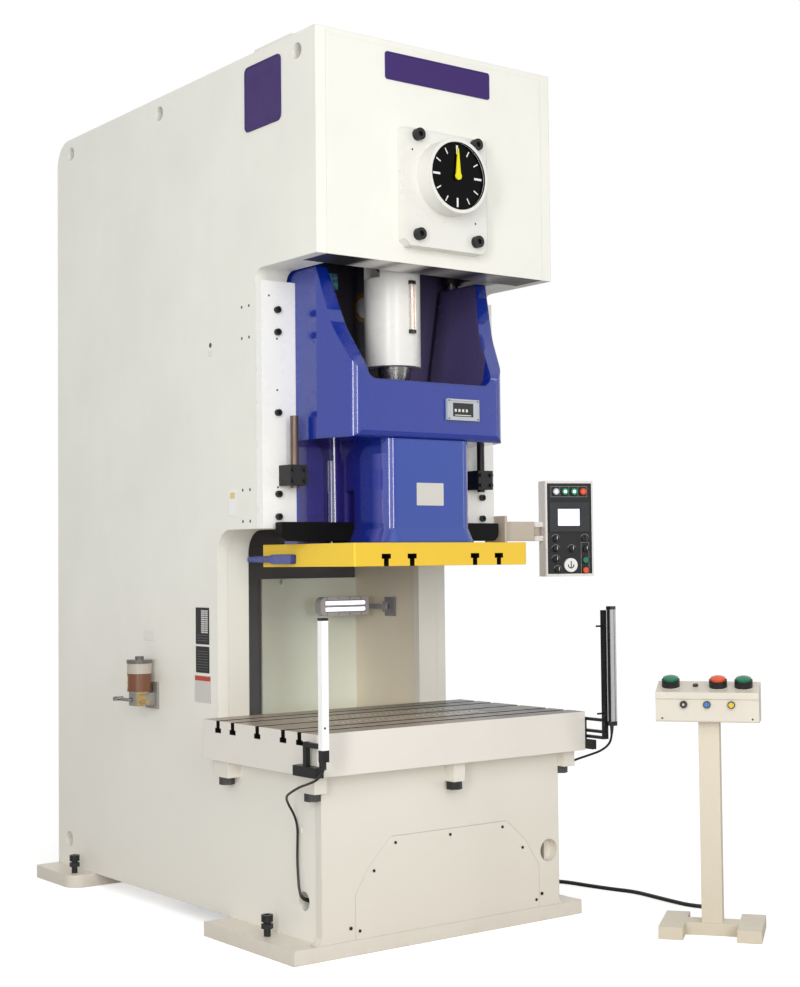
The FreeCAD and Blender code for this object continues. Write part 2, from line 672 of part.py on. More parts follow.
# column between two recesses, and the guide blocks beside them with a rounded inner corner
column_plan = [
    (-gib_x + fit, slide_back_y), (-gib_x + fit, guide_y), (-guide_in, guide_y),
    (-guide_in, recess_y), (-column_half, recess_y, recess_r), (-column_half, column_y, column_r),
    (column_half, column_y, column_r), (column_half, recess_y, recess_r), (guide_in, recess_y),
    (guide_in, guide_y), (gib_x - fit, guide_y), (gib_x - fit, slide_back_y)]
column = prism(column_plan, "xy", slide_z0, box_z)
for s in (-1.0, 1.0):
    corner_cut = box(-guide_r, guide_r, guide_y - 1.0, recess_y, box_z - guide_r, box_z + 1.0)
    corner_cut = corner_cut.cut(cyl(guide_r, 100.0, (s * guide_r, guide_y - 2.0, box_z - guide_r), Y))
    corner_cut.translate(V(s * guide_in, 0.0, 0.0))
    column = column.cut(corner_cut)


def flare_wire(out, z):
    """Outline of the column's front half, offset outwards by the given amount."""
    half = column_half + out
    front_y = column_y - out
    return wire([(-half, recess_y), (-half, front_y, column_r + out), (half, front_y, column_r + out),
                 (half, recess_y)], "xy", z)


flare = Part.makeLoft([flare_wire(flare_out, slide_z0), flare_wire(0.0, slide_z0 + flare_h)], True, True)
slide = upper.multiFuse([column, flare])
ko_clear = 1.5
slide = slide.cut(box(-gib_x - 5.0, gib_x + 5.0, ko_y - ko_clear, ko_y + ko_t + ko_clear,
                      ko_z, ko_z + ko_h + ko_travel + ko_clear + 6.0))
slide = slide.cut(cyl(screw_r + fit, pocket_floor - screw_bore_z, (0.0, die_y, screw_bore_z), Z))
slide = slide.removeSplitter()
add("slide_casting", slide)

plate = prism(rect(-plate_half, plate_half, plate_y0, plate_y1, 8.0), "xy", plate_z, slide_z0)
for u in plate_slots:
    section = tee(u, stem_w, stem_head, slot_depth, slot_head_h, plate_z, 1.0)
    plate = plate.cut(prism(section, "xz", plate_y0, plate_y1))
add("slide_plate", plate)

ko = prism([(-ko_half, ko_z, 36.0), (ko_half, ko_z, 36.0), (ko_half, ko_z + ko_h, 6.0),
            (-ko_half, ko_z + ko_h, 6.0)], "xz", ko_y, ko_y + ko_t)
add("knockout_bar", ko)
rods = both(cyl(ko_rod_r, ko_rod_len, (ko_rod_x, ko_rod_y, ko_rod_z), Z))
add("knockout_rod_right", rods[0])
add("knockout_rod_left", rods[1])
clamp_y1 = throat_y - gib_t
clamp_half = 42.0
clamp_y0 = ko_rod_y - 34.0
clamp_z0 = ko_rod_z + 10.0
clamp_h = 85.0
clamp = box(ko_rod_x - clamp_half, ko_rod_x + clamp_half, clamp_y0, clamp_y1, clamp_z0, clamp_z0 + clamp_h)
clamp = clamp.cut(cyl(ko_rod_r + fit, clamp_h, (ko_rod_x, ko_rod_y, clamp_z0), Z))
add("knockout_clamps", both(clamp))
for cx in (-29.0, 29.0):
    for cz in (20.0, 65.0):
        screws.extend(both(cyl(8.0, 10.0, (ko_rod_x + cx, clamp_y0 - 10.0, clamp_z0 + cz), Y)))

# die-height indicator box on the slide's front
ind_z0 = box_z + 86.0
ind_z1 = box_z + 176.0
ind = box(76.0, 249.0, box_y - 14.0, box_y, ind_z0, ind_z1)
ind = ind.cut(box(84.0, 241.0, box_y - 14.0, box_y - 11.0, ind_z0 + 8.0, ind_z1 - 8.0))
add("height_indicator", ind)

# balance cylinders on the crank wall, their rods standing on the wings of the slide
bal_x = 415.0
bal_y = 440.0
bal_r = 45.0
bal_bore = 38.0
bal_z0 = wing_z + 24.0
bal_h = 390.0
bal_end = 15.0
bal_rod_r = 15.0
piston_t = 28.0
cylinders = []
bal_rods = []
for s in (-1.0, 1.0):
    body = cyl(bal_r, bal_h, (s * bal_x, bal_y, bal_z0), Z)
    arm = box(s * bal_x - 35.0, s * bal_x + 35.0, bal_y, crank_wall_y, bal_z0 + 130.0, bal_z0 + 200.0)
    body = fuse([body, arm])
    body = body.cut(cyl(bal_bore, bal_h - 2.0 * bal_end, (s * bal_x, bal_y, bal_z0 + bal_end), Z))
    body = body.cut(cyl(bal_rod_r + fit, bal_end, (s * bal_x, bal_y, bal_z0), Z))
    cylinders.append(body)
    rod_z1 = bal_z0 + bal_h - bal_end - 20.0
    bal_rods.append(fuse([cyl(bal_rod_r, rod_z1 - wing_z, (s * bal_x, bal_y, wing_z), Z),
                          cyl(bal_bore - fit, piston_t, (s * bal_x, bal_y, rod_z1 - piston_t), Z)]))
add("balance_cylinders", cylinders)
add("balance_rods", bal_rods)

# ================= dial =================
dial_plate_t = 50.0
dial_plate = prism([
    (-190.0, crank_z - 295.0), (190.0, crank_z - 295.0), (217.0, crank_z - 268.0), (217.0, crank_z + 190.0),
    (-217.0, crank_z + 190.0), (-217.0, crank_z - 268.0)], "xz", -dial_plate_t, 0.0)
dial_plate = dial_plate.cut(cyl(60.0, dial_plate_t, (0.0, -dial_plate_t, crank_z), Y))
add("dial_cover_plate", dial_plate)
dial_r = 155.0
dial_face_r = 140.0
dial_front = -131.0
needle_hub_r = 16.0
housing = cyl(dial_r, -dial_plate_t - dial_front, (0.0, dial_front, crank_z), Y)
housing = housing.cut(cyl(dial_face_r, 12.0, (0.0, dial_front, crank_z), Y))
housing = housing.cut(cyl(dial_spindle_r + 1.0, 90.0, (0.0, dial_front, crank_z), Y))
ticks = []
for k in range(12):
    main = k % 3 == 0
    tick_half = 4.5 if main else 2.5
    tick_in = 90.0 if main else 100.0
    tick = box(-tick_half, tick_half, dial_front + 10.5, dial_front + 12.5, crank_z + tick_in,
               crank_z + (128.0 if main else 126.0))
    ticks.append(spin(tick, 30.0 * k, (0.0, 0.0, crank_z), Y))
housing = fuse([housing] + ticks)
add("dial_housing", housing)
needle = prism([(-13.0, crank_z), (13.0, crank_z), (3.0, crank_z + 112.0), (-3.0, crank_z + 112.0)],
               "xz", -129.0, -125.0)
needle = fuse([needle, cyl(3.0, 4.0, (0.0, -129.0, crank_z + 112.0), Y),
               cyl(needle_hub_r, 5.0, (0.0, -130.0, crank_z), Y)])
needle = needle.cut(cyl(dial_spindle_r, 10.0, (0.0, -128.0, crank_z), Y))
add("dial_pointer", needle)
for bx in (-153.0, 153.0):
    for bz in (crank_z - 246.0, crank_z + 164.0):
        head = cyl(25.0, 26.0, (bx, -dial_plate_t - 26.0, bz), Y)
        screws.append(head.cut(cyl(11.0, 12.0, (bx, -dial_plate_t - 26.0, bz), Y)))

# ================= operator's arm and box =================
arm_y0 = 360.0
arm_y1 = 440.0
arm_z0 = throat_top_z - 53.0
arm_z1 = throat_top_z + 35.0
swivel_x = 862.0
swivel_y = 400.0
hinge_r = 26.0
hinge_pin_r = 12.0
ear_t = 24.0
tongue_x = swivel_x - 38.0
arm = fuse([box(half_w, tongue_x, arm_y0, arm_y1, arm_z0, arm_z1),
            box(tongue_x, swivel_x, swivel_y - hinge_r, swivel_y + hinge_r, arm_z0 + ear_t, arm_z1 - ear_t),
            cyl(hinge_r, arm_z1 - arm_z0 - 2.0 * ear_t, (swivel_x, swivel_y, arm_z0 + ear_t), Z),
            box(half_w, half_w + 14.0, arm_y0 - 30.0, arm_y1 + 30.0, arm_z0 - 25.0, arm_z1 + 25.0)])
arm = arm.cut(cyl(hinge_pin_r + fit, arm_z1 - arm_z0, (swivel_x, swivel_y, arm_z0), Z))
add("control_arm", arm)

# the box is drawn square to the axes with its front at v = 0, then turned about the vertical
panel_w = 236.0
panel_d = 100.0
panel_z0 = arm_z1 - 253.0
panel_z1 = arm_z1 + 189.0
panel_yaw = -23.0
corner = (867.0, 330.0)


def on_panel(shape):
    out = shape.copy()
    out.rotate(V(0, 0, 0), Z, panel_yaw)
    out.translate(V(corner[0], corner[1], 0.0))
    return out


def local(x, y):
    """World point in the panel's own frame."""
    a = math.radians(-panel_yaw)
    dx = x - corner[0]
    dy = y - corner[1]
    return dx * math.cos(a) - dy * math.sin(a), dx * math.sin(a) + dy * math.cos(a)


su, sv = local(swivel_x, swivel_y)
case = prism(rect(0.0, panel_w, 0.0, panel_d, 8.0), "xy", panel_z0, panel_z1)
case = case.cut(box(10.0, panel_w - 10.0, 0.0, 3.0, panel_z0 + 12.0, panel_z1 - 12.0))
case_parts = [case, box(20.0, 214.0, -3.0, 3.0, panel_z0 + 206.0, panel_z0 + 342.0)
              .cut(box(58.0, 172.0, -3.0, 0.0, panel_z0 + 229.0, panel_z0 + 316.0))]
for k in range(4):
    case_parts.append(cyl(15.0, 15.0, (52.0 + 44.0 * k, -12.0, panel_z0 + 392.0), Y))
for u, up in ((50.0, 174.0), (50.0, 127.0), (50.0, 79.0), (58.0, 30.0), (128.0, 126.0), (196.0, 126.0)):
    z = panel_z0 + up
    case_parts.append(fuse([cyl(14.0, 15.0, (u, -12.0, z), Y),
                            box(u - 4.0, u + 4.0, -20.0, -12.0, z - 13.0, z + 13.0)]))
case_parts.append(cyl(32.0, 11.0, (120.0, -8.0, panel_z0 + 52.0), Y))

# two ears of the box grip the arm's tongue, with the hinge pin through all three
for z in (arm_z0, arm_z1 - ear_t + seat_gap):
    case_parts.append(cyl(hinge_r, ear_t - seat_gap, (su, sv, z), Z))
    case_parts.append(box(su, 12.0, sv - hinge_r, sv + hinge_r, z, z + ear_t - seat_gap))
case_parts.append(cyl(hinge_pin_r, arm_z1 - arm_z0, (su, sv, arm_z0), Z))
case_body = fuse(case_parts)
btn_r = 13.0
btn_u = 193.0
start_z = panel_z0 + 75.0
stop_z = panel_z0 + 28.0
for z in (start_z, stop_z):
    case_body = case_body.cut(cyl(btn_r + seat_gap, 16.0, (btn_u, 3.0, z), Y))
    case_body = fuse([case_body, ring(btn_r + 5.0, btn_r + seat_gap, 6.0, (btn_u, -3.0, z), Y)])
sel_u = 193.0
sel_z = panel_z0 + 175.0
case_body = case_body.cut(cyl(8.0 + fit, 16.0, (sel_u, 3.0, sel_z), Y))
add("control_box", on_panel(case_body))
add("box_start_button", on_panel(cyl(btn_r, 19.0, (btn_u, -9.0, start_z), Y)))
add("box_stop_button", on_panel(cyl(btn_r, 19.0, (btn_u, -9.0, stop_z), Y)))
selector = fuse([cyl(8.0, 15.0, (sel_u, 3.0 - seat_gap, sel_z), Y),
                 cyl(14.0, 12.0, (sel_u, -9.0 - seat_gap, sel_z), Y),
                 box(sel_u - 4.0, sel_u + 4.0, -20.0, -9.0, sel_z - 13.0, sel_z + 13.0)])
add("box_selector", on_panel(selector))

# ================= light curtains =================
bar_y = -210.0
bar_x = bolster_w / 2.0 + 49.0
rail_x = bolster_w / 2.0 + 34.0
post_x = bolster_w / 2.0 + 24.0
bar_low = {-1.0: 798.0, 1.0: 831.0}
bar_high = {-1.0: 1335.0, 1.0: 1342.0}
rail_low = {-1.0: 765.0, 1.0: 773.0}
bars = []
brackets = []
for s in (-1.0, 1.0):
    bars.append(box(s * bar_x - 15.0, s * bar_x + 15.0, bar_y - 14.0, bar_y + 14.0, bar_low[s], bar_high[s]))
    rail = box(s * rail_x - 10.0, s * rail_x + 10.0, -190.0, -170.0, rail_low[s], bar_high[s] - 17.0)
    base_out = 40.0 if s < 0 else 22.0
    x0 = min(s * bolster_w / 2.0, s * (bolster_w / 2.0 + base_out))
    parts = [rail, box(x0, x0 + base_out, -137.0, 17.0, 727.0, 767.0),
             box(s * post_x - 10.0, s * post_x + 10.0, -66.0, -46.0, 727.0, 860.0)]
    for z in ((849.0,) if s < 0 else (854.0, 804.0, 779.0)):
        half_h = 9.0 if s < 0 else 6.0
        parts.append(box(s * post_x - 10.0, s * post_x + 10.0, -190.0, -46.0, z - half_h, z + half_h))
    for z in ((871.0, 1301.0) if s < 0 else (883.0, 1257.0)):
        parts.append(box(s * (rail_x + 5.0) - 15.0, s * (rail_x + 5.0) + 15.0, bar_y + 14.0, -190.0,
                         z - 11.0, z + 11.0))
        if s > 0:
            parts.append(cyl(4.0, 34.0, (rail_x - 44.0, -180.0, z), X))
    brackets.append(fuse(parts))
add("light_curtain_bars", bars)
add("light_curtain_brackets", brackets)


def tube(points, r, name):
    """Tube along straight runs joined by tangent arcs; prints its radii and its volume check."""
    pts = [V(*p) for p in points]
    n = len(pts)
    runs = [(pts[i + 1] - pts[i]).Length for i in range(n - 1)]
    edges = []
    radii = []
    last = pts[0]
    length = 0.0
    for i in range(1, n - 1):
        a = (pts[i - 1] - pts[i]).normalize()
        b = (pts[i + 1] - pts[i]).normalize()
        turn = math.pi - a.getAngle(b)
        t = 0.45 * min(runs[i - 1], runs[i])
        radius = t / math.tan(turn / 2.0)
        radii.append(round(radius, 1))
        p0 = pts[i] + a * t
        p1 = pts[i] + b * t
        bis = (a + b).normalize()
        centre = pts[i] + bis * (radius / math.cos(turn / 2.0))
        mid = centre - bis * radius
        edges.append(Part.LineSegment(last, p0).toShape())
        edges.append(Part.Arc(p0, mid, p1).toShape())
        length += (p0 - last).Length + radius * turn
        last = p1
    edges.append(Part.LineSegment(last, pts[-1]).toShape())
    length += (pts[-1] - last).Length
    path = Part.Wire(edges)
    d = (pts[1] - pts[0]).normalize()
    section = Part.Wire([Part.makeCircle(r, pts[0], d)])
    solid = path.makePipeShell([section], True, False)
    print(name, "radii", radii, "runs", [round(x) for x in runs],
          "volume ratio", round(solid.Volume / (math.pi * r * r * length), 4))
    return solid


left_cable = [
    (-bar_x, -210.0, 798.0), (-bar_x, -210.0, 762.0), (-bar_x - 5.0, -172.0, 728.0),
    (-bar_x - 6.0, -115.0, 708.0), (-bar_x + 1.0, -48.0, 690.0), (-bar_x + 11.0, 28.0, 662.0),
    (-716.0, 102.0, 634.0), (-682.0, 142.0, 600.0), (-650.0, 143.0, 552.0), (-631.0, 149.0, 500.0),
    (-629.7, 154.0, 436.0), (-630.0, 156.0, 372.0), (-632.0, 148.0, 310.0), (-637.0, 134.0, 256.0),
    (-626.0, 124.0, 220.0), (-596.0, 124.0, 214.0)]
right_cable = [
    (bar_x - 4.0, -210.0, 831.0), (bar_x - 4.0, -210.0, 791.0), (bar_x + 6.0, -184.0, 750.0),
    (bar_x + 9.0, -128.0, 716.0), (bar_x + 4.0, -58.0, 692.0), (bar_x - 9.0, 14.0, 667.0),
    (722.0, 80.0, 638.0), (700.0, 138.0, 604.0), (664.0, 176.0, 572.0), (620.0, 176.0, 572.0)]
cable_r = 5.0
add("curtain_cable_left", tube(left_cable, cable_r, "left cable"))
add("curtain_cable_right", tube(right_cable, cable_r, "right cable"))

# ================= lubricator on the left side plate =================
lub_x = -690.0
lub_y = 1345.0
lub_base = fuse([
    box(-half_w - 12.0, -half_w, lub_y - 55.0, lub_y + 55.0, 890.0, 1010.0),
    box(lub_x - 35.0, -half_w - 12.0, lub_y - 35.0, lub_y + 35.0, 905.0, 962.0),
    cyl(48.0, 10.0, (lub_x, lub_y, 960.0), Z),
    cyl(9.0, 60.0, (lub_x - 10.0, lub_y - 95.0, 925.0), Y)])
jar = cyl(55.0, 140.0, (lub_x, lub_y, 970.0), Z)
jar = fuse([jar, cyl(58.0, 16.0, (lub_x, lub_y, 1096.0), Z), cyl(20.0, 17.0, (lub_x, lub_y, 1110.0), Z)])
add("lubricator", [lub_base, jar])
lub_lever = fuse([cyl(8.0, 20.0, (lub_x - 55.3, lub_y, 934.0), X),
                  box(lub_x - 63.0, lub_x - 55.3, lub_y - 8.0, lub_y + 95.0, 927.0, 941.0),
                  cyl(10.0, 46.0, (lub_x - 80.0, lub_y + 95.0, 934.0), X)])
lub_lever = lub_lever.common(box(lub_x - 120.0, lub_x - 35.0 - seat_gap, lub_y - 200.0, lub_y + 200.0,
                                 800.0, 1000.0))
add("lubricator_lever", lub_lever)

# ================= work lamp on the right inner plate =================
lamp_y = 990.0
lamp_z = throat_top_z - 356.0
lamp_bracket = fuse([
    box(flange_x - 10.0, flange_x, 948.0, 1026.0, lamp_z - 45.0, lamp_z + 45.0),
    box(flange_x - 40.0, flange_x - 10.0, lamp_y - 10.0, lamp_y + 10.0, lamp_z - 24.0, lamp_z + 24.0)])
lamp_pin_x = flange_x - 28.0
pin_z0 = lamp_z - 24.0
pin_z1 = lamp_z + 24.0
lamp_bracket = lamp_bracket.cut(box(lamp_pin_x - 20.0, lamp_pin_x + 14.0, 960.0, 1020.0,
                                    lamp_z - 12.0, lamp_z + 12.0))
lamp_bracket = lamp_bracket.cut(cyl(5.0 + fit, 60.0, (lamp_pin_x, lamp_y, pin_z0 - 5.0), Z))
add("work_lamp_bracket", lamp_bracket)
lamp_x0 = 112.0
lamp_x1 = 392.0
lamp_link = fuse([
    cyl(5.0, pin_z1 - pin_z0, (lamp_pin_x, lamp_y, pin_z0), Z),
    cyl(11.0, 23.4, (lamp_pin_x, lamp_y, lamp_z - 11.7), Z),
    prism([(lamp_pin_x - 10.0, lamp_y), (lamp_pin_x + 8.0, lamp_y), (lamp_pin_x + 2.0, 1100.0),
           (lamp_pin_x - 18.0, 1100.0)], "xy", lamp_z - 11.7, lamp_z + 11.7),
    box(lamp_x1 - 5.0, lamp_pin_x - 8.0, 1078.0, 1100.0, lamp_z - 11.7, lamp_z + 11.7)])
lamp_body = prism([(lamp_x0, lamp_z - 38.0, 30.0), (lamp_x1, lamp_z - 38.0, 6.0), (lamp_x1, lamp_z + 50.0, 6.0),
                   (lamp_x0, lamp_z + 50.0, 30.0)], "xz", 1066.0, 1110.0)
lamp_body = lamp_body.cut(box(lamp_x0 + 28.0, lamp_x1 - 20.0, 1066.0, 1078.0, lamp_z - 24.0, lamp_z + 36.0))
lamp_tubes = [cyl(9.0, lamp_x1 - lamp_x0 - 48.0, (lamp_x0 + 28.0, 1078.0, lamp_z + up), X)
              for up in (-9.0, 21.0)]
add("work_lamp_body", fuse([lamp_body, lamp_link] + lamp_tubes))

# ================= blue bar along the left side of the slide plate =================
bar_z0 = plate_z + 12.0
bar_z1 = plate_z + 53.0
side_bar = prism([(414.0, bar_z0, 10.0), (560.0, bar_z0), (580.0, bar_z0 + 6.0), (755.0, bar_z0 + 10.0, 8.0),
                  (755.0, bar_z1 - 9.0, 8.0), (580.0, bar_z1 - 5.0), (560.0, bar_z1), (414.0, bar_z1, 10.0)],
                 "yz", -plate_half - 26.0, -plate_half)
add("slide_side_bar", side_bar)

# ================= two-hand stand =================
stand_x = 905.0
stand_y = -621.0
stand_yaw = -52.6


def on_stand(shape):
    out = shape.copy()
    out.rotate(V(0, 0, 0), Z, stand_yaw)
    out.translate(V(stand_x, stand_y, 0.0))
    return out


base_w = 412.0
base_d = 315.0
base_t = 51.0
column_z = 875.0
base_end = 98.0
stand = [box(-base_w / 2.0, -base_w / 2.0 + base_end, -base_d / 2.0, base_d / 2.0, 0.0, base_t),
         box(base_w / 2.0 - base_end, base_w / 2.0, -base_d / 2.0, base_d / 2.0, 0.0, base_t),
         box(-base_w / 2.0 + base_end, base_w / 2.0 - base_end, -50.0, 50.0, 0.0, base_t),
         box(-42.5, 42.5, -40.0, 40.0, base_t, column_z)]
gland_z = 104.0
stand.append(cyl(15.0, 22.0, (0.0, 40.0, gland_z), Y))
add("stand_post", on_stand(fuse(stand)))
stand_half = 208.5
stand_front = -107.0
stand_rear = 30.0
slope_v0 = -112.0
slope_z0 = 996.0
slope_z1 = 1034.0
lid_z = 969.0
section = [(stand_front, column_z, 6.0), (stand_rear, column_z, 6.0), (stand_rear, slope_z1, 6.0),
           (slope_v0, slope_z0, 4.0), (slope_v0, lid_z), (stand_front, lid_z)]
stand_box = prism(section, "yz", -stand_half, stand_half)
slope = math.degrees(math.atan2(slope_z1 - slope_z0, stand_rear - slope_v0))
mid_v = (slope_v0 + stand_rear) / 2.0
mid_z = (slope_z0 + slope_z1) / 2.0


def on_slope(shape, u):
    """Places a shape drawn on the plane z = 0 onto the sloping top at width u."""
    out = shape.copy()
    out.rotate(V(0, 0, 0), X, slope)
    out.translate(V(u, mid_v, mid_z))
    return out


palm_r = 31.0
palm_u = (-152.0, 144.0)
stop_u = 41.0
palm_stem = 9.0
palm_lift = 24.0
palm_h = 23.0
collar_r = 37.0
collar_h = 30.0
stem_deep = 40.0
for u in palm_u + (stop_u,):
    collar = ring(collar_r, palm_r + 1.0, collar_h + 2.0, (0.0, 0.0, -2.0), Z)
    stand_box = fuse([stand_box, on_slope(collar, u)])
    guide = cyl(palm_stem + fit, stem_deep + 8.0, (0.0, 0.0, -stem_deep - 8.0), Z)
    stand_box = stand_box.cut(on_slope(guide, u))
small = cyl(11.0, 12.0, (0.0, 0.0, -2.0), Z)
stand_box = fuse([stand_box, on_slope(small, -51.0)])
knob_z = 947.0
for u in (-94.0, 0.0, 98.0):
    knob = cyl(15.0, 12.0, (u, stand_front - 12.0, knob_z), Y)
    grip = box(u - 4.0, u + 4.0, stand_front - 20.0, stand_front - 12.0, knob_z - 14.0, knob_z + 14.0)
    stand_box = fuse([stand_box, knob, grip])
add("stand_box", on_stand(stand_box))


def palm_button(u):
    """Domed palm head on a stem; the dome is a ball cut off at the head's rim."""
    ball_r = (palm_r * palm_r + 64.0) / 16.0
    dome = Part.makeSphere(ball_r, V(0.0, 0.0, palm_lift + palm_h - ball_r))
    head = dome.common(cyl(palm_r, palm_h, (0.0, 0.0, palm_lift), Z))
    stem = cyl(palm_stem, stem_deep + palm_lift, (0.0, 0.0, -stem_deep), Z)
    return on_stand(on_slope(fuse([head, stem]), u))


add("palm_button_left", palm_button(palm_u[0]))
add("palm_button_right", palm_button(palm_u[1]))
add("stand_stop_button", palm_button(stop_u))

# the stand's cable lies on the floor and enters the back of the post at its gland
stand_cable = [
    (650.0, 830.0, 180.0), (712.0, 830.0, 180.0), (795.0, 815.0, 128.0), (885.0, 772.0, 50.0),
    (975.0, 712.0, 14.0), (1065.0, 632.0, 9.0), (1138.0, 535.0, 9.0), (1162.0, 385.0, 9.0),
    (1192.0, 248.0, 9.0), (1226.0, 150.0, 9.0), (1216.0, 20.0, 9.0), (1205.0, -105.0, 9.0),
    (1200.0, -215.0, 9.0), (1238.0, -300.0, 9.0), (1222.0, -373.0, 12.0)]
stand_cable_r = 9.0
a = math.radians(stand_yaw)
for v, z in ((330.0, 30.0), (230.0, 76.0), (145.0, gland_z), (62.0, gland_z)):
    stand_cable.append((stand_x - v * math.sin(a), stand_y + v * math.cos(a), z))
add("stand_cable", tube(stand_cable, stand_cable_r, "stand cable"))

# glands, cable clip and small clamps
screws.append(ring(15.0, 3.0, 30.0, (half_w, 830.0, 180.0), X))
screws.append(box(-half_w - 4.4, -half_w, 138.0, 166.0, 478.0, 496.0))
add("fasteners", screws)

# ================= write one file for each sub-part =================
os.makedirs("parts", exist_ok=True)
for name in nodes:
    nodes[name].exportStep("parts/" + name + ".step")
print(len(nodes), "nodes")
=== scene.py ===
import bpy
import bmesh
import math
import json
from mathutils import Vector, Matrix


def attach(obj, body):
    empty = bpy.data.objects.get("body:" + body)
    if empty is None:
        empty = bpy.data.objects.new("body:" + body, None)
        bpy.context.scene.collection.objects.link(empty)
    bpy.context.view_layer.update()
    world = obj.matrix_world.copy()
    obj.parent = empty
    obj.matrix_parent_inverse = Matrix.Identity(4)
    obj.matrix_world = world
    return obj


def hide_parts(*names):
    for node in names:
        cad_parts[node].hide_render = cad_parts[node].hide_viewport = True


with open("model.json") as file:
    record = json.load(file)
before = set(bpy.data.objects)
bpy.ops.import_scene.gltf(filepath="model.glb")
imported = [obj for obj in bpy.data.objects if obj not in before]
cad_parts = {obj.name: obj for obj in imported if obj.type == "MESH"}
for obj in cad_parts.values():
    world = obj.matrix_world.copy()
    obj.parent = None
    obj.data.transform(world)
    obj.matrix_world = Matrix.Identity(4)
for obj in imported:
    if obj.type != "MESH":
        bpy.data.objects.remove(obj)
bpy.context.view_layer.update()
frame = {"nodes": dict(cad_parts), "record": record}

scene = bpy.context.scene
scene.view_settings.view_transform = "Standard"

# ---------------------------------------------------------------- camera
# solved from the photograph's straight edges: place in metres, angles in degrees, focal length in pixels
CAMERA_AT = (-4.226, -5.297, 1.551)
CAMERA_YAW, CAMERA_PITCH, CAMERA_ROLL = 37.09, 2.31, -0.58
FOCAL_PX, FRAME_PX, SENSOR_MM = 1639.0, 987.0, 36.0

yaw = math.radians(CAMERA_YAW)
pitch = math.radians(CAMERA_PITCH)
roll = math.radians(CAMERA_ROLL)
fwd = Vector((math.sin(yaw) * math.cos(pitch), math.cos(yaw) * math.cos(pitch), math.sin(pitch)))
level_side = Vector((math.cos(yaw), -math.sin(yaw), 0.0))
level_up = level_side.cross(fwd)
right = level_side * math.cos(roll) + level_up * math.sin(roll)
up = level_up * math.cos(roll) - level_side * math.sin(roll)
cam_data = bpy.data.cameras.new("camera")
cam = bpy.data.objects.new("camera", cam_data)
scene.collection.objects.link(cam)
cam_data.sensor_fit = "AUTO"
cam_data.sensor_width = SENSOR_MM
cam_data.lens = FOCAL_PX / FRAME_PX * SENSOR_MM
cam_data.clip_end = 100.0
cam.matrix_world = Matrix((
    (right.x, up.x, -fwd.x, CAMERA_AT[0]), (right.y, up.y, -fwd.y, CAMERA_AT[1]),
    (right.z, up.z, -fwd.z, CAMERA_AT[2]), (0.0, 0.0, 0.0, 1.0)))
scene.camera = cam


# ---------------------------------------------------------------- node helpers
COLOR_A, COLOR_B, COLOR_OUT = 6, 7, 2  # the mix node's colour sockets
NOISE_LO, NOISE_HI = 0.3, 0.7          # where most of a noise's values lie


